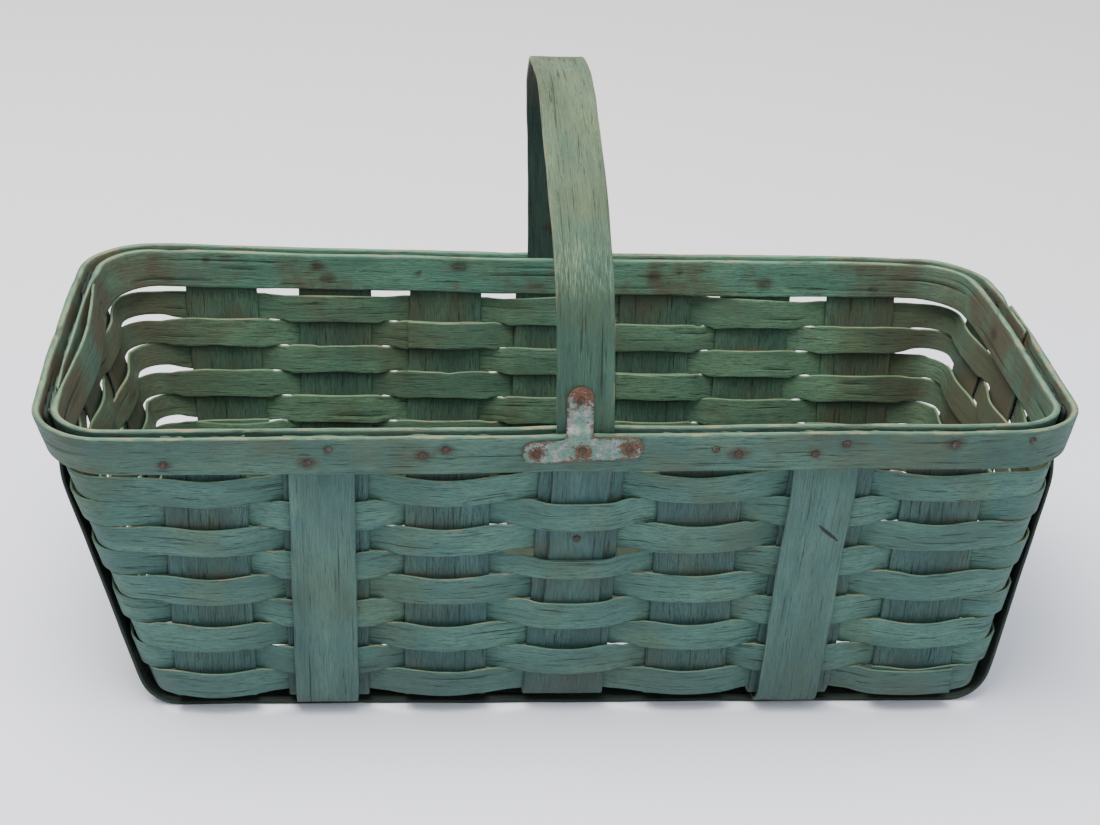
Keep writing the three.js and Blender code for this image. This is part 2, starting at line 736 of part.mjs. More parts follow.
for (const strap of OVERLAY_STRAPS) {
  addPiece(`overlay_strap_${strap.name}`, drilled(overlayStrap(strap)), paint(0x4b7f74, 0.75));
}
addPiece('runner_front', drilled(runner(-RUNNER_SPACING)), paint(0x24382f, 0.8));
addPiece('runner_back', drilled(runner(RUNNER_SPACING)), paint(0x24382f, 0.8));
addPiece(
  'outer_rim',
  drilled(rim(OUTER_RIM_FACE, OUTER_RIM_BACK, 'right', 10, 52, 0)),
  paint(0x4f8577, 0.7),
);
addPiece(
  'inner_rim',
  drilled(rim(INNER_RIM_FACE, INNER_RIM_BACK, 'left', -70, 70, LAP_SPRING)),
  paint(0x5a9280, 0.7),
);
addPiece('handle', drilled(handle()), paint(0x6f9c86, 0.65));
addPiece('t_brace_front', drilled(brace(WALLS.front)), paint(0x6a5446, 0.6));
addPiece('t_brace_back', drilled(brace(WALLS.back)), paint(0x6a5446, 0.6));

const nailMaterial = new THREE.MeshStandardMaterial({ color: 0x3a2720, roughness: 0.8, metalness: 0.4 });
for (const nail of nails) {
  const mesh = new THREE.Mesh(nailGeometry(nail.depth), nailMaterial);
  const { foot, out } = nailPose(nail);
  mesh.name = nail.name;
  mesh.position.copy(rack(foot.clone()));
  mesh.quaternion.setFromUnitVectors(new THREE.Vector3(0, 1, 0), out);
  basket.add(mesh);
}

export default basket;
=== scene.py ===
"""Painted splint basket with a hoop handle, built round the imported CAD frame."""
import math
import random

import bmesh
import bpy
import numpy as np
from mathutils import Matrix, Vector


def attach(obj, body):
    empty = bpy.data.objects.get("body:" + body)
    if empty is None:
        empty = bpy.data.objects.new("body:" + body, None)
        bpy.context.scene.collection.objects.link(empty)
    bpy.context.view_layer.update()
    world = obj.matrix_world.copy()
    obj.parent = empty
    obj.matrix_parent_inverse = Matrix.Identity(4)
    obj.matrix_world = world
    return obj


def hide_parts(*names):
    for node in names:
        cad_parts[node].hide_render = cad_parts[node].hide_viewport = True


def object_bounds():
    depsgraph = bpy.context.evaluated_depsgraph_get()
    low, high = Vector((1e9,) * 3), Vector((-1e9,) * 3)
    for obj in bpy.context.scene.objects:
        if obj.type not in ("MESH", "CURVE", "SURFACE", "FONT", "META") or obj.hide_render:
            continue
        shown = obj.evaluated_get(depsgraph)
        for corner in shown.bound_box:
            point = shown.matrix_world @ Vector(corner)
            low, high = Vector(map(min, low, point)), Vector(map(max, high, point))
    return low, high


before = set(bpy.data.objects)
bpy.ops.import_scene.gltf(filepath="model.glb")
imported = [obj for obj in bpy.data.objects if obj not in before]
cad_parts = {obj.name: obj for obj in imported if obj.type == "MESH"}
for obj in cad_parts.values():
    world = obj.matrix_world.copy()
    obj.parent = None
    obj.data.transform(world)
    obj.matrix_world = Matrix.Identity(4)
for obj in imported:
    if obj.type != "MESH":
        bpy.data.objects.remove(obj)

CAD_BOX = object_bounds()
MM = 0.001

# ---- The basket's own dimensions, in millimetres --------------------------------------------------

RIM_TOP, RIM_HEIGHT, RIM_CORNER = 182.5, 22.5, 32
LENGTH, DEPTH = 560, 270
STAVE_THICKNESS, STAVE_WIDTH, STAVE_BEND = 1.8, 45, 7
STAVE_TOP = RIM_TOP - 2.5
END_STAVE_SPACING, RUNNER_SPACING = 71.5, 81
BASE_LEVEL, BASE_WEAVE = 8, 2.3
ROW_PITCH, ROW_HEIGHT, TOP_ROW, ROWS = 15.84, 15.2, 147.7, 9
SAG, LAP_SPRING, LAP_STOPS, RIM_TAPER = 1.3, 4.5, 3, 22
WEAVER_SWELL, END_ROW_SWELL, WEAVER_CHIPS, RIM_CHIPS = 1.25, 0.3, 0.9, 0.5
WEAVER_THICKNESS, TOP_CORNER, BOTTOM_CORNER = 1.6, 18, 12.5
BULGE, TAIL_BULGE, EDGE_STAND, TAIL_EDGE_STAND = 4.6, 5.9, 2.2, 2.9
STAIN_LENGTH, STAIN_HEIGHT, STAIN_DEPTH, EDGE_WEAR = 5.0, 3.1, 15, 1.7
LAP_STEP = WEAVER_THICKNESS + 0.35
STRAP_WIDTH, STRAP_THICKNESS = 35, 2
STRAP_STAND, STRAP_TUCK, STRAP_LEVEL, STRAP_BEND = 6.8, 2.3, 3.3, 18
RUNNER_LEVEL, RUNNER_BEND = 1, 20
HANDLE_WIDTH, HANDLE_THICKNESS, HANDLE_STAND = 31, 3, 2.7
HANDLE_TOP, HANDLE_SPRING, HANDLE_DRIFT = 337.8, 244.7, -8
TAIL_END, TAIL_THICKNESS = 62, 2
BRACE_LENGTH, BRACE_HEIGHT, BRACE_THICKNESS = 62, 13, 1.5
BRACE_X, BRACE_Z, BRACE_TILT = 8.5, 174, 0.05
TAB_WIDTH, TAB_TOP, TAB_NAIL_Z = 14, 208, 201
TAB_X, BRACE_NAIL_SPACING, TAIL_NAIL_X = -1.5, 24, 8
NAIL_HEAD, NAIL_SHANK, NAIL_SHORT, GAP = 2, 0.9, 0.6, 0.3
OUTER_RIM = (8.7, 4.5)
INNER_RIM = (-1.2, -5.4)
RACK_TWIST, RACK_RAISE, END_BOW = 3.5, 1, 4
HALF_LENGTH = LENGTH / 2 - OUTER_RIM[0]
HALF_DEPTH = DEPTH / 2 - OUTER_RIM[0]

# Each wall: its reach at the rim, its outward lean and the side it is on.
WALLS = {
    "front": (HALF_DEPTH, 0.124, -1),
    "back": (HALF_DEPTH, 0.124, 1),
    "left": (HALF_LENGTH, 0.2975, -1),
    "right": (HALF_LENGTH, 0.1825, 1),
}
# Each cross stave's centre along X at the front rim, the base and the back rim.
CROSS_STAVES = {
    "a": (-188, -186, -198),
    "b": (-124, -124, -126),
    "c": (-61, -60, -57),
    "d": (10, 5, 9),
    "e": (73, 73, 74),
    "f": (144, 131, 137),
    "g": (205, 200, 205),
}
LONG_STAVES = {"front": -END_STAVE_SPACING, "middle": 0, "back": END_STAVE_SPACING}
STRAPS = {"left": (-126, -125, -126), "right": (139, 130, 137)}
# The stave over which each weaver's ends lap, from the top row down.
LAPS = [("back", "e"), ("back", "c"), ("back", "g"), ("back", "e"), ("back", "c"),
        ("back", "a"), ("back", "e"), ("back", "g"), ("front", "g")]
# Each rim nail's wall, place along it and height.
RIM_NAILS = [
    ("front", -208, 167), ("front", -133, 168), ("front", -122, 176), ("front", -74, 172),
    ("front", -62, 175), ("front", 78, 174), ("front", 90, 171), ("front", 130, 170),
    ("front", 146, 176), ("front", 204, 176),
    ("back", -205, 177), ("back", -136, 175), ("back", -130, 168), ("back", -75, 172),
    ("back", -49, 177), ("back", 72, 173), ("back", 87, 175), ("back", 141, 169),
    ("back", 211, 166),
    ("left", 72, 171), ("right", 30, 172),
]


def lerp(a, b, t):
    return a + (b - a) * t


def smooth(t):
    t = np.clip(t, 0, 1)
    return t * t * (3 - 2 * t)


def reach(wall, z):
    rim, lean, _ = WALLS[wall]
    return rim - lean * max(0, RIM_TOP - z)


def centre_at(places, sign, z):
    front, base, back = places
    return lerp(base, front if sign < 0 else back, min(max(z / RIM_TOP, 0), 1))


# ---- Wander: seeded smooth waves ------------------------------------------------------------------


class Waves:
    """A smooth random curve or field, the same each run: a sum of sines with seeded directions."""

    def __init__(self, name, inputs, wavelength, terms=7):
        draw = random.Random(name)
        self.rows = []
        for i in range(terms):
            size = 2 * math.pi / (wavelength * 0.62 ** (i / 2.0))
            direction = [draw.gauss(0, 1) for _ in range(inputs)]
            norm = math.sqrt(sum(d * d for d in direction)) or 1
            self.rows.append(([size * d / norm for d in direction], draw.uniform(0, 2 * math.pi), 0.8 ** i))
        self.scale = 1 / math.sqrt(sum(w * w for _, _, w in self.rows) / 2)

    def __call__(self, *inputs):
        total = 0
        for sizes, phase, weight in self.rows:
            total = total + weight * np.sin(sum(s * x for s, x in zip(sizes, inputs)) + phase)
        return total * self.scale * 0.5


WARP = [Waves(f"warp{axis}", 3, 210) for axis in "xyz"]


def settle(points):
    """The basket's racked rim and bowed ends, and a slight wander that all its pieces share."""
    x, y, z = points[..., 0], points[..., 1], points[..., 2]
    along, across = x / (LENGTH / 2), y / (DEPTH / 2)
    lift = np.clip(z / RIM_TOP, 0, 1)
    wx, wy, wz = (wave(x, y, z) for wave in WARP)
    out = np.empty_like(points)
    out[..., 0] = x - END_BOW * along ** 3 * across ** 2 + 0.9 * lift * wx
    out[..., 1] = y + 1.1 * lift * wy
    out[..., 2] = z + lift * (RACK_RAISE * 0.5 * (1 + across) - RACK_TWIST * along * across + 0.7 * wz)
    return out


SPLIT_WIDTH = 0.45


class Splits:
    """Cracks that run with the grain for part of a strip's length, each a narrow groove."""

    def __init__(self, name, count, half_width, spacing, depth):
        draw = random.Random(name + "splits")
        room = half_width - 2.2
        lanes = [lerp(-room, room, (i + 0.5) / count) for i in range(count)]
        self.places = [lane + draw.uniform(-0.35, 0.35) * room / count for lane in lanes]
        self.draw, self.spacing, self.depth = draw, spacing, depth

    def grooves(self, along, v, outline_v):
        """How deep each point lies: cracks open and close again, on both faces alike."""
        deep = np.zeros(v.shape)
        for place in self.places:
            line = np.zeros(len(along))
            mark = self.draw.uniform(0, self.spacing)
            while mark < along[-1]:
                length = self.draw.uniform(0.15, 0.5) * self.spacing
                size = self.draw.uniform(0.35, 1.0)
                share = (along - mark) / length
                opening = np.sin(np.pi * np.clip(share, 0, 1)) ** 0.6
                line = np.maximum(line, size * np.where((share > 0) & (share < 1), opening, 0))
                mark += self.draw.uniform(0.7, 1.9) * self.spacing
            deep += self.depth * line[:, None] * (np.abs(outline_v - place) < 0.01)
        return deep


# ---- Skins ----------------------------------------------------------------------------------------


def section(half_width, bevel, across, splits):
    """Points round a strip's section as (across, through) pairs: outer face, edge, inner face, edge."""
    flat = half_width - bevel
    spread = [flat * math.sin(math.pi / 2 * (2 * i / across - 1)) for i in range(across + 1)]
    for split in splits:
        spread = [v for v in spread if abs(v - split) > SPLIT_WIDTH or abs(v) == flat]
        spread += [split - SPLIT_WIDTH, split, split + SPLIT_WIDTH]
    spread.sort()
    turns = [math.radians(t) for t in (58, 22, -22, -58)]
    points = [(v, 1) for v in spread]
    points += [(flat + bevel * math.cos(t), math.sin(t)) for t in turns]
    points += [(v, -1) for v in reversed(spread)]
    points += [(-flat - bevel * math.cos(t), -math.sin(t)) for t in turns]
    return np.array(points)


def finish_piece(name, slot, mesh):
    flip_if_inside_out(mesh)
    mesh.shade_smooth()
    piece = bpy.data.objects.new(name, mesh)
    bpy.context.scene.collection.objects.link(piece)
    mesh.materials.append(MATERIALS[slot])
    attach(piece, "root")
    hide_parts(name)


def add_field(mesh, name, kind, values):
    field = mesh.attributes.new(name, kind, "POINT")
    values = np.ascontiguousarray(values, np.float32).ravel()
    field.data.foreach_set("vector" if kind == "FLOAT_VECTOR" else "value", values)


def ring_faces(rows, ring):
    """The quads that join each ring of points to the next."""
    faces = []
    for i in range(rows - 1):
        for k in range(ring):
            after = (k + 1) % ring
            faces.append((i * ring + k, i * ring + after, (i + 1) * ring + after, (i + 1) * ring + k))
    return faces


def tube(points):
    """Vertices and faces of a closed skin through rows of section points, with flat ends."""
    rows, ring = points.shape[:2]
    faces = ring_faces(rows, ring)
    half = ring // 2
    for row, turn in ((0, 1), (rows - 1, -1)):
        base = row * ring
        for k in range(half - 1):
            quad = (base + k, base + ring - 1 - k, base + ring - 2 - k, base + k + 1)
            faces.append(quad[::turn])
    return points.reshape(-1, 3), faces


def nail_stain(points):
    """How stained each point is by the nails that pass near it, longer with the rim's grain."""
    stain = np.zeros(points.shape[:2])
    tabs = [(side, BRACE_X + TAB_X, TAB_NAIL_Z) for side in ("front", "back")]
    for i, (wall, along, z) in enumerate(RIM_NAILS + tabs):
        place, out = on_wall(wall, along, z)
        gap = points - np.array(place)
        through = gap @ np.array(out)
        gap = gap - through[..., None] * np.array(out)
        level = np.hypot(gap[..., 0], gap[..., 1])
        size = 1.0 + 0.45 * math.sin(i * 2.3)
        near = np.hypot(level / (STAIN_LENGTH * size), gap[..., 2] / (STAIN_HEIGHT * size))
        stain = np.maximum(stain, np.exp(-near ** 2) * (np.abs(through) < STAIN_DEPTH))
    return stain


def skin(name, slot, points, outline, along, half_width, crack, ledge=0.0):
    """One strip from its rows of points, with the fields its material reads."""
    rows, ring = points.shape[:2]
    verts, faces = tube(settle(points) * MM)
    mesh = bpy.data.meshes.new(name)
    mesh.from_pydata(verts.tolist(), [], faces)
    v = np.broadcast_to(outline[..., 0], (rows, ring))
    d = np.broadcast_to(outline[..., 1], (rows, ring))
    draw = random.Random(name)
    shift = draw.uniform(0, 900)
    tone = draw.uniform(-1, 1)
    s = np.broadcast_to(np.asarray(along)[:, None], (rows, ring))
    grain = np.stack([s + shift * 7, v + shift, d + shift * 3], -1)
    to_edge = np.minimum(half_width - np.abs(v), np.minimum(s - s[0], s[-1] - s))
    edge = 1 - smooth(to_edge / EDGE_WEAR)
    stain = nail_stain(points) if slot in ("rim", "handle") else 0.0
    add_field(mesh, "stain", "FLOAT", np.broadcast_to(stain, (rows, ring)))
    add_field(mesh, "grain", "FLOAT_VECTOR", grain)
    add_field(mesh, "edge", "FLOAT", edge)
    add_field(mesh, "side", "FLOAT", d)
    add_field(mesh, "tone", "FLOAT", np.full(rows * ring, tone))
    add_field(mesh, "crack", "FLOAT", np.broadcast_to(crack, (rows, ring)))
    add_field(mesh, "ledge", "FLOAT", np.broadcast_to(ledge, (rows, ring)))
    mesh.validate()
    finish_piece(name, slot, mesh)


def flip_if_inside_out(mesh):
    volume = 0
    for face in mesh.polygons:
        corners = [mesh.vertices[i].co for i in face.vertices]
        for b, c in zip(corners[1:], corners[2:]):
            volume += corners[0].dot(b.cross(c))
    if volume < 0:
        mesh.flip_normals()


# ---- Strips bent in one upright plane -------------------------------------------------------------


def foot_bend(wall, stand, level, radius, steps=12):
    _, lean, sign = WALLS[wall]
    centre_z = level + radius
    centre = reach(wall, centre_z) + stand - radius * math.hypot(1, lean)
    points = []
    for i in range(steps + 1):
        angle = lerp(-math.atan(lean), -math.pi / 2, i / steps)
        points.append((sign * (centre + radius * math.cos(angle)), centre_z + radius * math.sin(angle)))
    return points


def resample(path, pitch):
    """A path of rows of numbers, with the first two its place, at an even pitch."""
    path = np.array(path, float)
    lengths = np.concatenate([[0], np.cumsum(np.hypot(*np.diff(path[:, :2], axis=0).T))])
    count = max(int(lengths[-1] / pitch), 8)
    marks = np.linspace(0, lengths[-1], count + 1)
    return np.stack([np.interp(marks, lengths, column) for column in path.T], 1), marks


def soften(path, passes):
    for _ in range(passes):
        path[1:-1] = 0.25 * path[:-2] + 0.5 * path[1:-1] + 0.25 * path[2:]
    return path


def flat_strip(name, slot, path, width, axis, passes=1, across=10, pitch=4, bevel=0.8, splits=2,
               crown_up=False, first_row=None, gouge=None):
    """A strip in an upright plane. Each path row is (place, height, thickness, centre across).

    first_row is the uppermost weaver that passes outside it, for the dirt that lies above each one.
    gouge is a cut across the front, from one (across, height) to another.
    """
    path, along = resample(path, pitch)
    path = soften(path, passes)
    tangent = np.gradient(path[:, :2], axis=0)
    tangent /= np.linalg.norm(tangent, axis=1)[:, None]
    normal = np.stack([-tangent[:, 1], tangent[:, 0]], 1)
    if (normal[len(normal) // 2, 1] > 0) != crown_up:
        normal = -normal
    half = width / 2
    cracks = Splits(name, splits, half, 150, 0.42)
    outline = section(half, bevel, across, cracks.places)
    rows, ring = len(path), len(outline)
    thick = path[:, 2] / 2
    side_wave = Waves(name + "side", 2, 90)
    face_wave = Waves(name + "face", 2, 60)
    end_wave = Waves(name + "end", 2, 9)
    v = np.broadcast_to(outline[:, 0], (rows, ring)).copy()
    s = np.broadcast_to(along[:, None], (rows, ring))
    v += 0.35 * side_wave(s, np.sign(v) * 40) * (np.abs(v) / half) - 0.25 * v / half
    d = outline[:, 1] * thick[:, None]
    deep = cracks.grooves(along, v, np.broadcast_to(outline[:, 0], (rows, ring)))
    if gouge:
        start, run = np.array(gouge[0]), np.subtract(gouge[1], gouge[0])
        gap = np.stack([v, np.broadcast_to(path[:, 1][:, None], v.shape)], -1) - start
        t = np.clip(gap @ run / (run @ run), 0, 1)
        far = np.linalg.norm(gap - t[..., None] * run, axis=-1)
        cut = np.exp(-(far / (0.35 + 0.7 * np.sin(np.pi * t))) ** 2)
        deep = np.maximum(deep, cracks.depth * cut * (outline[:, 1] > 0) * (path[:, 0] < 0)[:, None])
    d = d + 0.12 * face_wave(s, v * 2) - np.sign(outline[:, 1]) * deep * thick[:, None]
    grow = np.zeros((rows, ring))
    for row, turn in ((0, -1), (rows - 1, 1)):
        grow[row] = turn * np.clip(0.9 * end_wave(v[row], 3 * turn), -1.4, 0.6) - 0.6 * turn
    p = path[:, 0][:, None] + d * normal[:, 0][:, None] + grow * tangent[:, 0][:, None]
    z = path[:, 1][:, None] + d * normal[:, 1][:, None] + grow * tangent[:, 1][:, None]
    w = path[:, 3][:, None] + v
    points = np.stack([w, p, z] if axis == "x" else [p, w, z], -1)
    shape = np.stack([v, outline[:, 1] * np.ones((rows, 1))], -1)
    ledge = 0.0
    if first_row is not None:
        row = np.where(outline[:, 1] > 0, first_row, 1 - first_row)
        above = np.mod(z - (TOP_ROW - row * ROW_PITCH + ROW_HEIGHT / 2), 2 * ROW_PITCH)
        ledge = np.exp(-above / 3.5) * smooth((z - 16) / 8) * (z < RIM_TOP - RIM_HEIGHT)
    skin(name, slot, points, shape, along, half, deep / cracks.depth, ledge)


def stave_end(wall, level, places):
    sign = WALLS[wall][2]
    points = [(sign * reach(wall, STAVE_TOP), STAVE_TOP)] + foot_bend(wall, 0, level, STAVE_BEND)
    return [(p, z, STAVE_THICKNESS, places if np.isscalar(places) else centre_at(places, sign, z))
            for p, z in points]


def build_staves():
    for i, (name, places) in enumerate(CROSS_STAVES.items()):
        path = stave_end("front", BASE_LEVEL, places) + stave_end("back", BASE_LEVEL, places)[::-1]
        flat_strip(f"cross_stave_{name}", "stave", path, STAVE_WIDTH, "x", first_row=i % 2)
    for i, (name, y) in enumerate(LONG_STAVES.items()):
        phase = 1 if i % 2 else -1
        level = BASE_LEVEL + phase * BASE_WEAVE
        weave = []
        for k, (_, base, _) in enumerate(CROSS_STAVES.values()):
            height = BASE_LEVEL + (phase if k % 2 == 0 else -phase) * BASE_WEAVE
            reach_out = STAVE_WIDTH / 2 + 1
            if k > 0:
                weave.append((base - reach_out, height, STAVE_THICKNESS, y))
            if k < len(CROSS_STAVES) - 1:
                weave.append((base + reach_out, height, STAVE_THICKNESS, y))
        path = stave_end("left", level, y) + weave + stave_end("right", level, y)[::-1]
        flat_strip(f"long_stave_{name}", "stave", path, STAVE_WIDTH, "y", first_row=1 - i % 2)


def strap_end(wall, level, radius, places):
    sign = WALLS[wall][2]
    leaves = RIM_TOP - RIM_HEIGHT - 2
    meets = TOP_ROW - ROW_PITCH + ROW_HEIGHT / 2 + 1.6
    marks = [(STAVE_TOP, STRAP_TUCK), (leaves, STRAP_TUCK), (meets, STRAP_STAND)]
    points = [(sign * (reach(wall, z) + stand), z) for z, stand in marks]
    points += foot_bend(wall, STRAP_STAND, level, radius)
    return [(p, z, STRAP_THICKNESS, places if np.isscalar(places) else centre_at(places, sign, z))
            for p, z in points]


# The dark cut across the right strap's front: from one (across, height) to the other.
STRAP_GOUGE = ((0.6, 125), (13, 115))


def build_straps():
    for name, places in STRAPS.items():
        path = strap_end("front", STRAP_LEVEL, STRAP_BEND, places)
        path += strap_end("back", STRAP_LEVEL, STRAP_BEND, places)[::-1]
        fine = dict(pitch=1.3, across=30, gouge=STRAP_GOUGE) if name == "right" else {}
        flat_strip(f"overlay_strap_{name}", "strap", path, STRAP_WIDTH, "x", passes=2, **fine)
    for name, y in (("front", -RUNNER_SPACING), ("back", RUNNER_SPACING)):
        path = strap_end("left", RUNNER_LEVEL, RUNNER_BEND, y)
        path += strap_end("right", RUNNER_LEVEL, RUNNER_BEND, y)[::-1]
        flat_strip(f"runner_{name}", "runner", path, STRAP_WIDTH, "y", passes=2)


def build_handle():
    places = CROSS_STAVES["d"]
    thin = HANDLE_STAND - (HANDLE_THICKNESS - TAIL_THICKNESS) / 2
    under_rim = RIM_TOP - RIM_HEIGHT

    def leg(wall):
        sign = WALLS[wall][2]
        marks = [(TAIL_END, thin, TAIL_THICKNESS), (under_rim - 6, thin, TAIL_THICKNESS),
                 (under_rim + 2, HANDLE_STAND, HANDLE_THICKNESS), (RIM_TOP, HANDLE_STAND, HANDLE_THICKNESS)]
        return [(sign * (reach(wall, z) + stand), z, t, centre_at(places, sign, z))
                for z, stand, t in marks]

    steps = 60
    rise = HANDLE_TOP - HANDLE_THICKNESS / 2 - HANDLE_SPRING
    arch = []
    for i in range(steps + 1):
        angle = math.pi * (1 - i / steps)
        z = HANDLE_SPRING + rise * math.sin(angle)
        p = (HALF_DEPTH + HANDLE_STAND) * math.cos(angle)
        drift = HANDLE_DRIFT * ((z - RIM_TOP) / (HANDLE_TOP - RIM_TOP)) ** 1.5
        foot = lerp(places[0], places[2], smooth((p + 60) / 120))
        arch.append((p, z, HANDLE_THICKNESS, foot + drift))
    path = leg("front") + arch + leg("back")[::-1]
    flat_strip("handle", "handle", path, HANDLE_WIDTH, "x", passes=2, across=14, bevel=1.0, crown_up=True)


# ---- Hoops round the wall -------------------------------------------------------------------------


def on_wall(wall, along, z):
    """(place, outward direction) on a wall's middle surface."""
    _, _, sign = WALLS[wall]
    out = sign * reach(wall, z)
    if wall in ("front", "back"):
        return (along, out, z), (0, sign, 0)
    return (out, along, z), (sign, 0, 0)


def on_corner(end, side, turn, z, corner):
    x = reach(end, z) - corner + corner * math.sin(turn)
    y = reach(side, z) - corner + corner * math.cos(turn)
    sx, sy = WALLS[end][2], WALLS[side][2]
    return (sx * x, sy * y, z), (sx * math.sin(turn), sy * math.cos(turn), 0)


def corner_turns(toward_end, steps=14):
    return [(i if toward_end else steps - i) / steps * math.pi / 2 for i in range(steps + 1)]


class Hoop:
    """Stations of a strip that goes round the wall, each placed at its lower and its upper edge."""

    def __init__(self, low, high, corner):
        self.low, self.high, self.corner = low, high, corner
        self.places, self.outs, self.stands, self.tags = [], [], [], []

    def wall(self, wall, along, stand=None, tag=None):
        ends = [on_wall(wall, along, z) for z in (self.low, self.high)]
        self._add(ends, stand, tag)

    def turn(self, end, side, toward_end):
        for turn in corner_turns(toward_end):
            ends = [on_corner(end, side, turn, z, self.corner) for z in (self.low, self.high)]
            self._add(ends, None, None)

    def _add(self, ends, stand, tag):
        self.places.append([ends[0][0], ends[1][0]])
        self.outs.append(ends[0][1])
        self.stands.append(stand)
        self.tags.append(tag)

    def rolled(self, tag, repeat):
        """Starts at the first stop with this tag, and runs on past the start for some stops."""
        start = self.tags.index(tag)
        count = len(self.places)
        order = [(start + i) % count for i in range(count + repeat)]
        return order


def fill_gaps(distance, stands):
    """Stands at every station, by a smooth monotone curve through those that are known."""
    known = [i for i, s in enumerate(stands) if s is not None]
    x = np.array([distance[i] for i in known])
    y = np.array([stands[i] for i in known], float)
    h = np.diff(x)
    slope = np.diff(y) / h
    m = np.zeros(len(x))
    for i in range(1, len(x) - 1):
        if slope[i - 1] * slope[i] > 0:
            m[i] = 2 / (1 / slope[i - 1] + 1 / slope[i])
    def curve(at):
        k = np.clip(np.searchsorted(x, at) - 1, 0, len(x) - 2)
        t = np.clip((at - x[k]) / h[k], 0, 1)
        a = (1 + 2 * t) * (1 - t) ** 2 * y[k] + t * (1 - t) ** 2 * h[k] * m[k]
        return a + t * t * (3 - 2 * t) * y[k + 1] + t * t * (t - 1) * h[k] * m[k + 1]
    return curve


def notches(name, along, spacing):
    """Small chips out of an edge, at random places along it."""
    draw = random.Random(name)
    missing = np.zeros(len(along))
    mark = draw.uniform(0.2, 1.0) * spacing
    while mark < along[-1]:
        length, size = draw.uniform(5, 16), draw.uniform(0.3, 1.0)
        missing = np.maximum(missing, size * np.exp(-((along - mark) / length * 2.2) ** 4))
        mark += draw.uniform(0.4, 1.6) * spacing
    return missing


def hoop_points(name, hoop, order, stands, half_t, pitch, narrow, outline, height, cracks, chips,
                curl=0.0, swell=(0.0, 0.0), losses=()):
    """Dense rows of section points along a hoop, with their distances.

    chips is how deep the chips in its edges are, and swell how much taller it grows at its top and its
    bottom where it is clear of the next hoops. losses are rows of LOSSES.
    """
    places = np.array([hoop.places[i] for i in order], float)
    outs = np.array([hoop.outs[i] for i in order], float)
    middle = places.mean(1)
    distance = np.concatenate([[0], np.cumsum(np.linalg.norm(np.diff(middle, axis=0), axis=1))])
    curve = fill_gaps(distance, stands)
    along = np.linspace(0, distance[-1], int(distance[-1] / pitch) + 1)
    take = lambda column: np.interp(along, distance, column)
    low = np.stack([take(places[:, 0, k]) for k in range(3)], 1)
    high = np.stack([take(places[:, 1, k]) for k in range(3)], 1)
    out = np.stack([take(outs[:, k]) for k in range(3)], 1)
    out /= np.linalg.norm(out, axis=1)[:, None]
    stand = curve(along)
    rows, ring = len(along), len(outline)
    s = np.broadcast_to(along[:, None], (rows, ring))
    v = np.broadcast_to(outline[:, 0], (rows, ring)).copy()
    half = height / 2
    top = narrow * np.clip(0.55 + 0.6 * Waves(name + "top", 1, 95)(s), 0, 1.4)
    bottom = narrow * np.clip(0.55 + 0.6 * Waves(name + "bottom", 1, 95)(s), 0, 1.4)
    size = np.abs(stand)
    clear = (smooth((size - 0.9) / 0.75) * (1 - 0.45 * smooth((size - 2.6) / 1.8)))[:, None]
    chipped = chips * smooth((size - 2.2) / 0.8)[:, None]
    top = top + chipped * notches(name + "chips", along, 180)[:, None] - swell[0] * (0.18 + clear)
    bottom = bottom + 0.7 * chipped * notches(name + "nicks", along, 260)[:, None] - swell[1] * (0.18 + clear)
    for tags, top_loss, bottom_loss, span in losses:
        marks = np.sort(distance[[i for i, k in enumerate(order) if hoop.tags[k] in tags]])
        layers = np.split(marks, np.flatnonzero(np.diff(marks) > 200) + 1)
        window = sum(np.exp(-((along - layer.mean()) / span) ** 4) for layer in layers)[:, None]
        top, bottom = top + top_loss * window, bottom + bottom_loss * window
    v -= np.clip(v / half, 0, 1) * top - np.clip(-v / half, 0, 1) * bottom
    thick = half_t(along)[:, None]
    deep = cracks.grooves(along, v, np.broadcast_to(outline[:, 0], (rows, ring)))
    d = outline[:, 1] * thick + stand[:, None] - np.sign(outline[:, 1]) * deep * thick
    d += 0.1 * Waves(name + "face", 2, 40)(s, v * 2)
    d += curl * v * Waves(name + "curl", 1, 120)(s)
    w = (v / half + 1) / 2
    points = lerp(low[:, None, :], high[:, None, :], w[..., None]) + out[:, None, :] * d[..., None]
    return points, v, along, stand, deep / cracks.depth


def sag(stand):
    share = (np.abs(stand) - WEAVER_THICKNESS) / (BULGE - WEAVER_THICKNESS)
    return SAG * np.sign(stand) * np.clip(share, 0, 1)


def weaver_corner(z):
    share = (z - (TOP_ROW - (ROWS - 1) * ROW_PITCH)) / ((ROWS - 1) * ROW_PITCH)
    return lerp(BOTTOM_CORNER, TOP_CORNER, share)


RIGHT_CORNER = (("back", "g"), ("right", "back"))
LEFT_CORNER = (("back", "a"), ("left", "back"))
# By row, where a weaver is narrower: at or between which staves, the loss above and below (a gain where
# it is negative), and how far along it reaches.
LOSSES = {
    0: [([("back", "e")], -3.3, 0, 80), (LEFT_CORNER, 0, 1.6, 26)],
    1: [(RIGHT_CORNER, 0, 3.2, 26), (LEFT_CORNER, 1.6, 0, 26)],
    2: [(RIGHT_CORNER, 2.8, 0, 26), (LEFT_CORNER, 0, 2.0, 26)],
    3: [([("front", "d")], 4.2, 1.2, 44), (LEFT_CORNER, 2.0, 0, 26)],
    4: [(LEFT_CORNER, 0, 2.0, 26)],
    5: [(LEFT_CORNER, 2.0, 0, 26)],
}


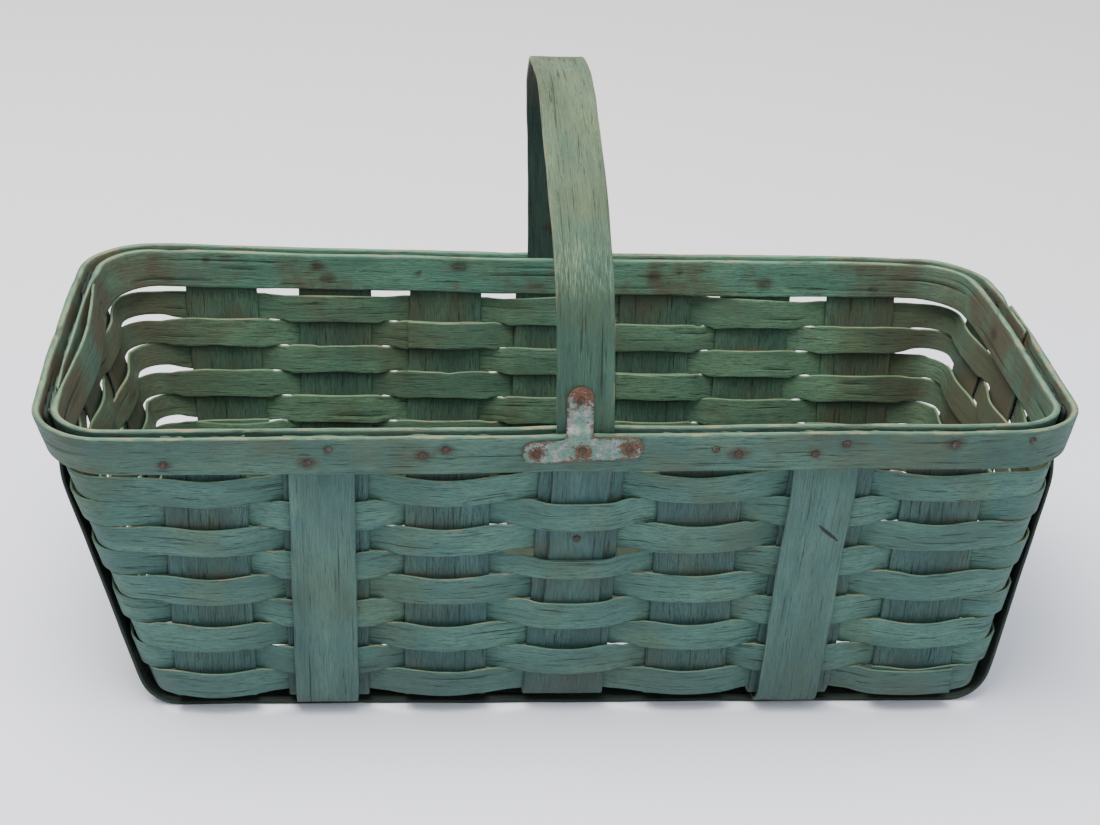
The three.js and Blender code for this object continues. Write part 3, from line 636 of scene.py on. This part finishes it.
def build_weaver(row):
    name = f"weaver_row_{row + 1}"
    z = TOP_ROW - row * ROW_PITCH
    odd = row % 2 == 0
    tail_row = not odd and z - ROW_HEIGHT / 2 > TAIL_END - ROW_HEIGHT
    hoop = Hoop(z - ROW_HEIGHT / 2, z + ROW_HEIGHT / 2, weaver_corner(z))
    bulge = random.Random(name)

    def pass_stave(wall, stave, centre, out, direction, tail):
        edge = STAVE_WIDTH / 2 + 0.6
        grip = HANDLE_WIDTH / 2 + 1
        marks = [-edge, 0, edge]
        stands = [EDGE_STAND, BULGE, EDGE_STAND]
        if tail:
            marks = [-edge, -grip, 0, grip, edge]
            stands = [TAIL_EDGE_STAND, BULGE, TAIL_BULGE, BULGE, TAIL_EDGE_STAND]
        swell = bulge.uniform(-0.5, 0.4)
        for i, (mark, stand) in enumerate(zip(marks, stands)):
            rise = swell if i == len(marks) // 2 else 0
            hoop.wall(wall, centre + direction * mark, out * (stand + rise), (wall, stave))

    def pass_wall(wall, direction):
        """Over and under a wall's staves, in one direction along it."""
        long_wall = wall in ("front", "back")
        staves = list(LONG_STAVES.items())
        if long_wall:
            side = WALLS[wall][2]
            staves = [(stave, centre_at(places, side, z)) for stave, places in CROSS_STAVES.items()]
        for i, (stave, centre) in enumerate(staves[::direction]):
            out = 1 if (i % 2 == 0) == (odd == long_wall) else -1
            pass_stave(wall, stave, centre, out, direction, tail_row and long_wall and stave == "d")

    for wall, direction, corner, toward_end in (
            ("front", 1, ("right", "front"), True), ("right", 1, ("right", "back"), False),
            ("back", -1, ("left", "back"), True), ("left", -1, ("left", "front"), False)):
        pass_wall(wall, direction)
        hoop.turn(*corner, toward_end)

    order = hoop.rolled(LAPS[row], LAP_STOPS)
    stands = [hoop.stands[i] for i in order]
    step = math.copysign(LAP_STEP, stands[0])
    for i in range(len(stands) - LAP_STOPS, len(stands)):
        stands[i] += step
    cracks = Splits(name, 2, ROW_HEIGHT / 2, 110, 0.45)
    outline = section(ROW_HEIGHT / 2, 0.6, 6, cracks.places)
    half_t = lambda along: np.full(len(along), WEAVER_THICKNESS / 2)
    swell = [END_ROW_SWELL if row == end else WEAVER_SWELL for end in (0, ROWS - 1)]
    points, v, along, stand, crack = hoop_points(
        name, hoop, order, stands, half_t, 3.2, 0.12, outline, ROW_HEIGHT, cracks, WEAVER_CHIPS,
        curl=0.03, swell=swell, losses=LOSSES.get(row, ()))
    points[..., 2] -= sag(stand)[:, None]
    shape = np.stack([v, np.broadcast_to(outline[:, 1], v.shape)], -1)
    skin(name, "weaver", points, shape, along, ROW_HEIGHT / 2, crack)


def build_rim(name, faces, lap_wall, lap_start, lap_end, spring):
    face, back = faces
    middle = (face + back) / 2
    half = abs(face - back) / 2
    thin = half / 2 - GAP / 4
    over = middle + half / 2 + GAP / 4
    direction = 1 if lap_wall == "right" else -1
    other = "left" if lap_wall == "right" else "right"
    first, second = ("back", "front") if lap_wall == "right" else ("front", "back")
    hoop = Hoop(RIM_TOP - RIM_HEIGHT, RIM_TOP, RIM_CORNER)
    shares = [i / 8 for i in range(9)]
    for share in shares:
        sprung = spring * math.sin(math.pi * share)
        under = middle - half / 2 - GAP / 4 - sprung
        hoop.wall(lap_wall, direction * lerp(lap_start, lap_end, share), under)
    hoop.wall(lap_wall, direction * (lap_end + RIM_TAPER), middle)
    hoop.turn(lap_wall, first, False)
    hoop.turn(other, first, True)
    for along in (50, 0, -50):
        hoop.wall(other, direction * along, middle)
    hoop.turn(other, second, False)
    hoop.turn(lap_wall, second, True)
    hoop.wall(lap_wall, direction * (lap_start - RIM_TAPER), middle)
    for share in shares:
        hoop.wall(lap_wall, direction * lerp(lap_start, lap_end, share), over)
    lap = lap_end - lap_start

    def half_t(along):
        total = along[-1]
        ends = np.minimum(along, total - along)
        return lerp(thin, half, np.clip((ends - lap) / RIM_TAPER, 0, 1))

    cracks = Splits(name, 3, RIM_HEIGHT / 2, 170, 0.4)
    outline = section(RIM_HEIGHT / 2, 1.1, 8, cracks.places)
    order = list(range(len(hoop.places)))
    stands = [middle if stand is None else stand for stand in hoop.stands]
    points, v, along, _, crack = hoop_points(
        name, hoop, order, stands, half_t, 3.5, 0.35, outline, RIM_HEIGHT, cracks, RIM_CHIPS)
    shape = np.stack([v, np.broadcast_to(outline[:, 1], v.shape)], -1)
    skin(name, "rim", points, shape, along, RIM_HEIGHT / 2, crack)


# ---- Metal braces ---------------------------------------------------------------------------------


def brace_outline():
    """The T's outline as drawn flat, counter-clockwise: a bar with rounded ends and a rounded tab."""
    half_x, half_z = BRACE_LENGTH / 2, BRACE_HEIGHT / 2
    end = BRACE_HEIGHT * 0.42
    half_tab = TAB_WIDTH / 2
    tab_top = TAB_TOP - BRACE_Z
    points = []

    def arc(cx, cz, r, a, b, steps):
        for i in range(steps + 1):
            t = math.radians(lerp(a, b, i / steps))
            points.append((cx + r * math.cos(t), cz + r * math.sin(t)))

    arc(-half_x + end, -half_z + end, end, 180, 270, 6)
    arc(half_x - end, -half_z + end, end, 270, 360, 6)
    arc(half_x - end, half_z - end, end, 0, 90, 6)
    fillet = 2.2
    arc(TAB_X + half_tab + fillet, half_z + fillet, fillet, 270, 180, 4)
    arc(TAB_X, tab_top - half_tab, half_tab, 0, 180, 12)
    arc(TAB_X - half_tab - fillet, half_z + fillet, fillet, 0, -90, 4)
    arc(-half_x + end, half_z - end, end, 90, 180, 6)
    return points


def brace_stand(z):
    """How far the plate's back stands off the staves at a height: over the rim, then on the handle."""
    bar = OUTER_RIM[0] + GAP
    tab = HANDLE_STAND + HANDLE_THICKNESS / 2 + GAP
    heights = [0, RIM_TOP + 0.4, RIM_TOP + 2.2, RIM_TOP + 3.4, RIM_TOP + 5.5, 400]
    stands = [bar, bar, bar - 0.9, tab + 1.2, tab, tab]
    return np.interp(z, heights, stands)


def build_brace(side):
    sign = WALLS[side][2]
    name = f"t_brace_{side}"
    bm = bmesh.new()
    loop = [bm.verts.new((x, z, 0)) for x, z in brace_outline()]
    bm.faces.new(loop)
    for axis, low, high, pitch in (((1, 0, 0), -31, 31, 2.0), ((0, 1, 0), -6, 34, 1.0)):
        mark = low
        while mark < high:
            place = [mark * a for a in axis]
            geom = bm.verts[:] + bm.edges[:] + bm.faces[:]
            bmesh.ops.bisect_plane(bm, geom=geom, plane_co=place, plane_no=axis)
            mark += pitch
    bmesh.ops.solidify(bm, geom=bm.faces[:], thickness=BRACE_THICKNESS)
    mesh = bpy.data.meshes.new(name)
    bm.to_mesh(mesh)
    bm.free()
    co = np.zeros(len(mesh.vertices) * 3)
    mesh.vertices.foreach_get("co", co)
    co = co.reshape(-1, 3)
    depth = co[:, 2] - co[:, 2].min()
    lift = depth / BRACE_THICKNESS
    x0, z0 = co[:, 0], co[:, 1]
    edge = edge_distance(x0, z0)
    tilt = np.where(z0 < 8, BRACE_TILT, BRACE_TILT * np.clip((14 - z0) / 6, 0, 1))
    x = BRACE_X + x0 - tilt * z0
    z = BRACE_Z + z0 + tilt * x0
    rounded = 0.55 * np.clip(1 - edge / 1.2, 0, 1) ** 2
    dent = 0.12 * Waves(name + "dent", 2, 14)(x, z)
    stand = brace_stand(z) + lift * (BRACE_THICKNESS - rounded + dent)
    out = np.array([reach(side, h) for h in z]) + stand
    points = settle(np.stack([x, sign * out, z], 1)) * MM
    mesh.vertices.foreach_set("co", points.ravel())
    add_field(mesh, "grain", "FLOAT_VECTOR", np.stack([x, z, lift * 2 + (300 if sign > 0 else 0)], -1))
    add_field(mesh, "edge", "FLOAT", 1 - smooth(edge / 2))
    nails = [(-BRACE_NAIL_SPACING, 0, 4.2), (0, -1, 4.6), (BRACE_NAIL_SPACING, 0, 4.8),
             (TAB_X, TAB_NAIL_Z - BRACE_Z + 1.5, 5.6)]
    near = [np.hypot(x0 - nx, z0 - nz) / size for nx, nz, size in nails]
    add_field(mesh, "rust", "FLOAT", np.exp(-np.min(near, axis=0) ** 2))
    mesh.update()
    finish_piece(name, "brace", mesh)


def edge_distance(x, z):
    outline = np.array(brace_outline())
    after = np.roll(outline, -1, 0)
    best = np.full(len(x), 1e9)
    for (ax, az), (bx, bz) in zip(outline, after):
        ex, ez = bx - ax, bz - az
        t = np.clip(((x - ax) * ex + (z - az) * ez) / (ex * ex + ez * ez + 1e-9), 0, 1)
        best = np.minimum(best, np.hypot(x - ax - t * ex, z - az - t * ez))
    return best


# ---- Nails ----------------------------------------------------------------------------------------


def build_nail(name, place, out, lean, face, depth):
    """A round shank and a slightly domed, uneven head, from its point outward."""
    draw = random.Random(name)
    direction = Vector((out[0], out[1], -lean)).normalized()
    foot = Vector(place) + Vector(out) * face
    turn = Vector((0, 0, 1)).rotation_difference(direction).to_matrix()
    profile = [(0.0, -depth), (NAIL_SHANK * 0.6, -depth + 1.2), (NAIL_SHANK, -depth + 2),
               (NAIL_SHANK, GAP - 0.1), (NAIL_HEAD * 0.9, GAP - 0.05), (NAIL_HEAD, GAP + 0.2),
               (NAIL_HEAD * 0.96, GAP + 0.45), (NAIL_HEAD * 0.75, GAP + 0.72),
               (NAIL_HEAD * 0.4, GAP + 0.88), (0.0, GAP + 0.92)]
    sides = 20
    wobble = [1 + draw.uniform(-0.07, 0.07) for _ in range(sides)]
    tip = [draw.uniform(-0.12, 0.12), draw.uniform(-0.12, 0.12)]
    rows = []
    for r, h in profile[1:-1]:
        row = []
        for i in range(sides):
            angle = 2 * math.pi * i / sides
            size = r * (wobble[i] if r > NAIL_SHANK * 1.2 else 1)
            x, y = size * math.cos(angle), size * math.sin(angle)
            tilt = (tip[0] * x + tip[1] * y) * (1 if h > 0 else 0)
            row.append(foot + turn @ Vector((x, y, h + tilt)))
        rows.append(row)
    first = foot + turn @ Vector((0, 0, profile[0][1]))
    last = foot + turn @ Vector((0, 0, profile[-1][1]))
    points = [p for row in rows for p in row] + [first, last]
    faces = ring_faces(len(rows), sides)
    count = len(rows) * sides
    top = (len(rows) - 1) * sides
    for i in range(sides):
        j = (i + 1) % sides
        faces.append((j, i, count))
        faces.append((top + i, top + j, count + 1))
    verts = settle(np.array([tuple(p) for p in points])) * MM
    mesh = bpy.data.meshes.new(name)
    mesh.from_pydata(verts.tolist(), [], faces)
    mesh.validate()
    finish_piece(name, "nail", mesh)


def build_nails():
    depth = OUTER_RIM[0] - INNER_RIM[1] - NAIL_SHORT
    for i, (wall, along, z) in enumerate(RIM_NAILS):
        place, out = on_wall(wall, along, z)
        build_nail(f"rim_nail_{i + 1:02d}", place, out, WALLS[wall][1], OUTER_RIM[0], depth)
    place, out = on_corner("right", "front", 0.2, 177, RIM_CORNER)
    build_nail("rim_nail_corner", place, out, WALLS["front"][1], OUTER_RIM[0], depth)
    bar_face = OUTER_RIM[0] + GAP + BRACE_THICKNESS
    tab_face = HANDLE_STAND + HANDLE_THICKNESS / 2 + GAP + BRACE_THICKNESS
    tail_face = TAIL_THICKNESS + STAVE_THICKNESS / 2 + GAP
    for side in ("front", "back"):
        lean = WALLS[side][1]
        for i, x in enumerate((-BRACE_NAIL_SPACING, 0, BRACE_NAIL_SPACING)):
            place, out = on_wall(side, BRACE_X + x, BRACE_Z + x * BRACE_TILT)
            build_nail(f"brace_nail_{side}_{i + 1}", place, out, lean, bar_face,
                       bar_face - INNER_RIM[1] - NAIL_SHORT)
        place, out = on_wall(side, BRACE_X + TAB_X, TAB_NAIL_Z)
        build_nail(f"tab_nail_{side}", place, out, 0, tab_face, 4.6)
        place, out = on_wall(side, TAIL_NAIL_X, TOP_ROW - 2 * ROW_PITCH)
        build_nail(f"tail_nail_{side}", place, out, lean, tail_face, 3.9)


# ---- Materials ------------------------------------------------------------------------------------


class Nodes:
    """Short helpers for building a material's node tree."""

    def __init__(self, name):
        self.material = bpy.data.materials.new(name)
        self.material.use_nodes = True
        self.tree = self.material.node_tree
        self.tree.nodes.clear()
        self.output = self.tree.nodes.new("ShaderNodeOutputMaterial")

    def put(self, socket, value):
        if isinstance(value, bpy.types.NodeSocket):
            self.tree.links.new(value, socket)
        else:
            socket.default_value = value

    def field(self, name, vector=False):
        node = self.tree.nodes.new("ShaderNodeAttribute")
        node.attribute_name = name
        return node.outputs["Vector" if vector else "Fac"]

    def place(self):
        return self.tree.nodes.new("ShaderNodeTexCoord").outputs["Object"]

    def outward(self):
        return self.tree.nodes.new("ShaderNodeNewGeometry").outputs["Normal"]

    def split(self, vector):
        node = self.tree.nodes.new("ShaderNodeSeparateXYZ")
        self.put(node.inputs[0], vector)
        return node

    def upward(self, vector):
        return self.split(vector).outputs["Z"]

    def scaled(self, vector, scale):
        node = self.tree.nodes.new("ShaderNodeVectorMath")
        node.operation = "MULTIPLY"
        self.put(node.inputs[0], vector)
        node.inputs[1].default_value = scale
        return node.outputs[0]

    def noise(self, vector, scale=1.0, detail=4.0, roughness=0.6, distortion=0.0):
        node = self.tree.nodes.new("ShaderNodeTexNoise")
        self.put(node.inputs["Vector"], vector)
        node.inputs["Scale"].default_value = scale
        node.inputs["Detail"].default_value = detail
        node.inputs["Roughness"].default_value = roughness
        node.inputs["Distortion"].default_value = distortion
        return node.outputs["Fac"]

    def ramp(self, value, low, high, a=0.0, b=1.0):
        node = self.tree.nodes.new("ShaderNodeMapRange")
        node.interpolation_type = "SMOOTHSTEP"
        self.put(node.inputs["Value"], value)
        for key, number in (("From Min", low), ("From Max", high), ("To Min", a), ("To Max", b)):
            self.put(node.inputs[key], number)
        return node.outputs["Result"]

    def math(self, operation, a, b=0.0):
        node = self.tree.nodes.new("ShaderNodeMath")
        node.operation = operation
        self.put(node.inputs[0], a)
        self.put(node.inputs[1], b)
        return node.outputs[0]

    def times(self, *factors):
        product = factors[0]
        for factor in factors[1:]:
            product = self.math("MULTIPLY", product, factor)
        return product

    def mix(self, factor, a, b, blend="MIX"):
        node = self.tree.nodes.new("ShaderNodeMix")
        node.data_type = "RGBA"
        node.blend_type = blend
        self.put(node.inputs["Factor"], factor)
        colour = [s for s in node.inputs if s.type == "RGBA"]
        self.put(colour[0], a if isinstance(a, bpy.types.NodeSocket) else (*a, 1))
        self.put(colour[1], b if isinstance(b, bpy.types.NodeSocket) else (*b, 1))
        return [s for s in node.outputs if s.type == "RGBA"][0]

    def bump(self, height, distance, strength):
        node = self.tree.nodes.new("ShaderNodeBump")
        self.put(node.inputs["Height"], height)
        node.inputs["Distance"].default_value = distance
        node.inputs["Strength"].default_value = strength
        return node.outputs["Normal"]

    def surface(self, colour, roughness, normal, **plain):
        node = self.tree.nodes.new("ShaderNodeBsdfPrincipled")
        self.put(node.inputs["Base Color"], colour)
        self.put(node.inputs["Roughness"], roughness)
        self.put(node.inputs["Normal"], normal)
        for key, value in plain.items():
            self.put(node.inputs[key.replace("_", " ")], value)
        self.tree.links.new(node.outputs[0], self.output.inputs[0])
        return self.material


def painted_splint(name, outer, inner, wear_and_highlight=0.4, streak=1.0, bare=(0.27, 0.22, 0.12), fine=1.0, dirt=0.5,
                   edge_wear_and_highlight_tint=(2.1, 1.7, 1.45), sides=0.3, lower=None, upper=None):
    """Old green paint on split wood: long grain, dark checks, dusty hollows, rubbed bare edges, and pale
    edges that are partly thinned paint and partly a painted highlight on the edges that face up.

    sides is how much the edges that don't face up are rubbed and turned pale, against those that do. lower
    and upper are the outer colours under the rim and at the handle's crown, where they differ from the rest:
    painted shade low down and painted light at the crown.
    """
    n = Nodes(name)
    grain = n.field("grain", vector=True)
    edge, side, tone = n.field("edge"), n.field("side"), n.field("tone")
    place = n.place()
    fibre = n.noise(n.scaled(grain, (0.055, 1.5 * fine, 0.9)), 1.0, 6, 0.70, 0.3)
    hair = n.noise(n.scaled(grain, (0.16, 2.4 * fine, 1.6)), 1.0, 5, 0.72, 0.25)
    check = n.noise(n.scaled(grain, (0.034, 1.0 * fine, 0.5)), 1.0, 7, 0.72, 0.5)
    pore = n.noise(n.scaled(grain, (0.45, 2.6 * fine, 2.0)), 1.0, 3, 0.6)
    broad = n.noise(n.scaled(grain, (0.012, 0.05, 0.05)), 1.0, 3, 0.5)
    cloud = n.noise(place, 17.0, 5, 0.62)
    blue = n.noise(n.scaled(place, (1, 1, 1.6)), 31.0, 4, 0.6)
    speck = n.noise(place, 420.0, 3, 0.7)
    facing = n.ramp(side, -0.3, 0.3)
    if lower:
        # Painted shade and painted light: the handle's outer colour darkens below the rim and pales towards
        # the crown, as if lit from above.
        height = n.upward(place)
        outer = n.mix(n.ramp(height, 0.150, 0.200), lower, outer)
        outer = n.mix(n.ramp(height, 0.230, 0.310), outer, upper)
        band = n.times(n.ramp(height, 0.252, 0.266), n.ramp(height, 0.290, 0.274))
        gripped = n.times(band, n.ramp(hair, 0.50, 0.62), 0.8)
        outer = n.mix(gripped, outer, [1.9 * c for c in upper])
    base = n.mix(facing, inner, outer)

    def shade(colour, times):
        return n.mix(1.0, colour, times, "MULTIPLY")

    colour = n.mix(n.ramp(broad, 0.3, 0.7), shade(base, (0.74, 0.76, 0.78)), shade(base, (1.24, 1.20, 1.16)))
    colour = n.mix(n.ramp(tone, -1, 1, 0.0, 0.4), colour, shade(colour, (0.78, 0.86, 0.94)))
    colour = n.mix(n.ramp(blue, 0.48, 0.70, 0, 0.6), colour, shade(colour, (0.68, 0.87, 1.0)))
    colour = n.mix(n.ramp(cloud, 0.46, 0.66, 0, 0.6), colour, shade(colour, (0.95, 0.86, 0.66)))
    colour = n.mix(n.ramp(fibre, 0.46, 0.66, 0.0, 0.65), colour, shade(colour, (1.45, 1.38, 1.28)))
    lines = n.times(n.ramp(hair, 0.52, 0.38), n.ramp(broad, 0.25, 0.6, 0.5, 1.0))
    colour = n.mix(n.times(lines, 0.72 * streak), colour, shade(base, (0.24, 0.28, 0.28)))
    deep = n.ramp(check, 0.41, 0.34)
    colour = n.mix(n.times(deep, 0.85 * streak), colour, (0.012, 0.016, 0.011))
    height_up, facing_up = n.upward(place), n.upward(n.outward())
    inside = n.ramp(facing, 1, 0)
    settled = n.times(n.ramp(height_up, 0.030, 0.012), inside)
    dust = n.times(n.ramp(cloud, 0.47, 0.66), n.ramp(facing, 1, 0, 0.3 * dirt, dirt))
    ledge = n.times(n.field("ledge"), n.ramp(cloud, 0.40, 0.62, 0.05, 0.6))
    far = n.ramp(n.math("ABSOLUTE", n.split(place).outputs["X"]), 0.180, 0.240)
    corner = n.times(far, inside, n.ramp(cloud, 0.36, 0.55, 0.35, 0.9))
    for deposit in (ledge, n.times(settled, n.ramp(cloud, 0.35, 0.62, 0.25, 0.65)), corner):
        dust = n.math("MAXIMUM", dust, deposit)
    colour = n.mix(n.times(dust, min(1.0, dirt * 1.6)), colour, (0.074, 0.058, 0.033))
    # Every piece turns darker and greyer within 50 mm of the floor, in cloudy patches.
    foot = n.times(n.ramp(height_up, 0.050, 0.008), n.ramp(cloud, 0.34, 0.58, 0.25, 0.75))
    colour = n.mix(n.times(foot, dirt), colour, (0.052, 0.064, 0.052))
    patch = n.noise(n.scaled(grain, (0.06, 0.35, 0.35)), 1.0, 5, 0.68)
    topped = n.ramp(facing_up, 0.25, 0.75)
    worn_and_lit_edge = n.times(edge, n.ramp(topped, 0, 1, sides, 1.0))
    rubbed = n.times(n.ramp(worn_and_lit_edge, 0.3, 0.9), n.ramp(patch, 0.64 - wear_and_highlight * 0.25, 0.72 - wear_and_highlight * 0.2))
    # Pale edges, a lighter copy of the base green: partly thinned paint where the edges are rubbed, and a
    # painted highlight along every edge that faces up.
    pale = n.times(n.ramp(worn_and_lit_edge, 0.35, 0.95), n.ramp(patch, 0.42, 0.60, 0.1 * wear_and_highlight, wear_and_highlight))
    top_edge_highlight = n.times(topped, n.ramp(edge, 0.5, 0.95), n.ramp(patch, 0.3, 0.5, 0.5, 1.0))
    pale = n.math("MAXIMUM", pale, top_edge_highlight)
    colour = n.mix(n.times(pale, min(1.0, 1.6 * wear_and_highlight)), colour, shade(base, edge_wear_and_highlight_tint))
    colour = n.mix(n.times(rubbed, 0.75 * min(1.0, 2 * wear_and_highlight)), colour, bare)
    colour = n.mix(n.ramp(n.field("crack"), 0.15, 0.7, 0, 0.95), colour, (0.008, 0.009, 0.006))
    colour = n.mix(n.ramp(pore, 0.60, 0.70, 0, 0.7 * streak), colour, shade(base, (0.30, 0.32, 0.30)))
    colour = n.mix(n.ramp(speck, 0.66, 0.76, 0, 0.45), colour, shade(base, (0.3, 0.3, 0.25)))
    stained = n.times(n.field("stain"), n.ramp(hair, 0.36, 0.60, 0.35, 1.2))
    colour = n.mix(n.ramp(stained, 0.15, 0.8, 0, 0.9), colour, (0.032, 0.021, 0.012))
    roughness = n.ramp(fibre, 0.3, 0.7, 0.8, 0.58)
    height = n.math("SUBTRACT", n.math("ADD", n.times(fibre, 0.7), n.times(hair, 0.45)),
                    n.times(deep, 0.8))
    normal = n.bump(height, 0.0011, 0.9)
    return n.surface(colour, roughness, normal, Specular_IOR_Level=0.35)


def rusted_metal(name):
    """Old mint and silver paint on steel, flaking, with brown rust round the nails and edges."""
    n = Nodes(name)
    grain = n.field("grain", vector=True)
    edge, near_nail = n.field("edge"), n.field("rust")
    coarse = n.noise(n.scaled(grain, (0.14, 0.17, 0.2)), 1.0, 6, 0.66, 0.6)
    flake = n.noise(n.scaled(grain, (0.30, 0.45, 0.4)), 1.0, 6, 0.7, 0.8)
    pit = n.noise(n.scaled(grain, (1.3, 1.3, 1.3)), 1.0, 5, 0.7)
    rust = n.mix(n.ramp(pit, 0.35, 0.65), (0.040, 0.020, 0.013), (0.150, 0.066, 0.038))
    green = n.mix(n.ramp(flake, 0.35, 0.65), (0.045, 0.105, 0.080), (0.105, 0.175, 0.135))
    silver = n.mix(n.ramp(pit, 0.3, 0.62), (0.07, 0.066, 0.07), (0.23, 0.22, 0.22))
    paint = n.mix(n.ramp(coarse, 0.47, 0.58), green, silver)
    rusty = n.math("ADD", n.times(near_nail, 0.32), n.times(edge, 0.15))
    bared = n.ramp(n.math("ADD", flake, rusty), 0.60, 0.68)
    colour = n.mix(n.ramp(pit, 0.55, 0.68, 0, 0.5), paint, n.mix(1.0, paint, (0.5, 0.42, 0.36), "MULTIPLY"))
    colour = n.mix(bared, colour, rust)
    roughness = n.ramp(bared, 0, 1, 0.5, 0.85)
    height = n.math("SUBTRACT", n.times(pit, 0.4), bared)
    normal = n.bump(height, 0.0003, 0.9)
    return n.surface(colour, roughness, normal, Metallic=0.15, Specular_IOR_Level=0.4)


def nail_iron(name):
    n = Nodes(name)
    place = n.place()
    pit = n.noise(place, 1500.0, 4, 0.7)
    tint = n.noise(place, 260.0, 3, 0.6)
    colour = n.mix(n.ramp(pit, 0.35, 0.65), (0.012, 0.008, 0.006), (0.060, 0.026, 0.014))
    colour = n.mix(n.ramp(tint, 0.55, 0.7, 0, 0.6), colour, (0.05, 0.085, 0.065))
    normal = n.bump(pit, 0.0004, 0.9)
    return n.surface(colour, n.ramp(pit, 0.3, 0.7, 0.85, 0.6), normal, Metallic=0.2)


def plain_stage(name, near_colour, far_colour, roughness):
    n = Nodes(name)
    colour = n.mix(n.ramp(n.split(n.place()).outputs["Y"], 0.2, 0.9), near_colour, far_colour)
    soft = n.noise(n.place(), 3.0, 2, 0.5)
    shade = n.mix(n.ramp(soft, 0.3, 0.7, 0.015, 0), colour, (0.5, 0.5, 0.5))
    flat = n.bump(soft, 0.0005, 0.1)
    return n.surface(shade, roughness, flat)


MATERIALS = {
    "stave": painted_splint("painted_stave", (0.034, 0.082, 0.074), (0.058, 0.120, 0.078), 0.3, 1.15,
                            dirt=0.6),
    "weaver": painted_splint("painted_weaver", (0.050, 0.117, 0.097), (0.080, 0.160, 0.096), 0.55, 1.0),
    "strap": painted_splint("painted_strap", (0.052, 0.110, 0.093), (0.050, 0.11, 0.08), 0.3, 0.6, fine=1.5,
                            dirt=0.35, sides=0.5),
    # The runners' near-black green is painted shade, standing in for the shadow under the base.
    "runner": painted_splint("painted_runner", (0.009, 0.017, 0.014), (0.012, 0.024, 0.018), 0.08, 0.8,
                             dirt=0.05),
    "rim": painted_splint("painted_rim", (0.045, 0.098, 0.075), (0.068, 0.162, 0.110), 0.6, 0.85, fine=0.9,
                          dirt=0.8, sides=0.6),
    # The handle's lower colour is painted shade and its upper colour painted light, as if lit from above.
    "handle": painted_splint("painted_handle", (0.034, 0.083, 0.055), (0.023, 0.049, 0.036), 0.6, 0.6,
                             bare=(0.24, 0.15, 0.09), sides=0.9, lower=(0.034, 0.079, 0.074),
                             upper=(0.108, 0.156, 0.092)),
    "brace": rusted_metal("rusted_brace"),
    "nail": nail_iron("rusted_nail"),
}


# ---- Stage, light and camera ----------------------------------------------------------------------


def build_stage():
    """A pale floor, wide enough to fill the picture from every side."""
    floor_z, half = CAD_BOX[0][2], 30.0
    verts = [(-half, -half, floor_z), (half, -half, floor_z), (half, half, floor_z), (-half, half, floor_z)]
    mesh = bpy.data.meshes.new("floor")
    mesh.from_pydata(verts, [], [(0, 1, 2, 3)])
    floor = bpy.data.objects.new("floor", mesh)
    mesh.materials.append(plain_stage("pale_floor", (0.855, 0.855, 0.92), (0.90, 0.87, 0.85), 0.85))
    bpy.context.scene.collection.objects.link(floor)


def area_light(name, place, target, size, energy, colour):
    lamp = bpy.data.lights.new(name, "AREA")
    lamp.shape = "RECTANGLE"
    lamp.size, lamp.size_y = size
    lamp.energy = energy
    lamp.color = colour
    holder = bpy.data.objects.new(name, lamp)
    holder.location = place
    aim = Vector(target) - Vector(place)
    holder.rotation_euler = aim.to_track_quat("-Z", "Y").to_euler()
    bpy.context.scene.collection.objects.link(holder)


def build_lights():
    world = bpy.data.worlds.new("soft_studio")
    world.use_nodes = True
    background = world.node_tree.nodes["Background"]
    background.inputs["Color"].default_value = (0.86, 0.93, 1.0, 1)
    background.inputs["Strength"].default_value = 1.05
    bpy.context.scene.world = world
    area_light("key", (-0.5, -0.35, 2.3), (0, 0, 0.1), (2.2, 1.4), 95, (1.0, 0.96, 0.91))
    area_light("fill", (0.9, -2.0, 1.2), (0, 0, 0.1), (1.4, 1.4), 14, (0.9, 0.95, 1.0))


def build_camera():
    """The photograph's camera, fitted to the basket's rim, base and handle."""
    place, yaw, pitch, roll, lens = (-0.0860, -1.1921, 0.6762), -0.0728, 0.4256, 0.033, 74.5
    ahead = Vector((-math.sin(yaw) * math.cos(pitch), math.cos(yaw) * math.cos(pitch), -math.sin(pitch)))
    right = Vector((math.cos(yaw), math.sin(yaw), 0))
    up = right.cross(ahead)
    x = right * math.cos(roll) + up * math.sin(roll)
    y = -right * math.sin(roll) + up * math.cos(roll)
    data = bpy.data.cameras.new("camera")
    data.lens, data.sensor_width = lens, 36
    data.clip_start, data.clip_end = 0.05, 20
    camera = bpy.data.objects.new("camera", data)
    turn = Matrix((x, y, -ahead)).transposed().to_4x4()
    camera.matrix_world = Matrix.Translation(place) @ turn
    bpy.context.scene.collection.objects.link(camera)
    bpy.context.scene.camera = camera


# ---- The basket -----------------------------------------------------------------------------------

build_camera()
build_stage()
build_lights()
build_staves()
for row in range(ROWS):
    build_weaver(row)
build_straps()
build_rim("outer_rim", OUTER_RIM, "right", 10, 52, 0)
build_rim("inner_rim", INNER_RIM, "left", -70, 70, LAP_SPRING)
build_handle()
build_brace("front")
build_brace("back")
build_nails()
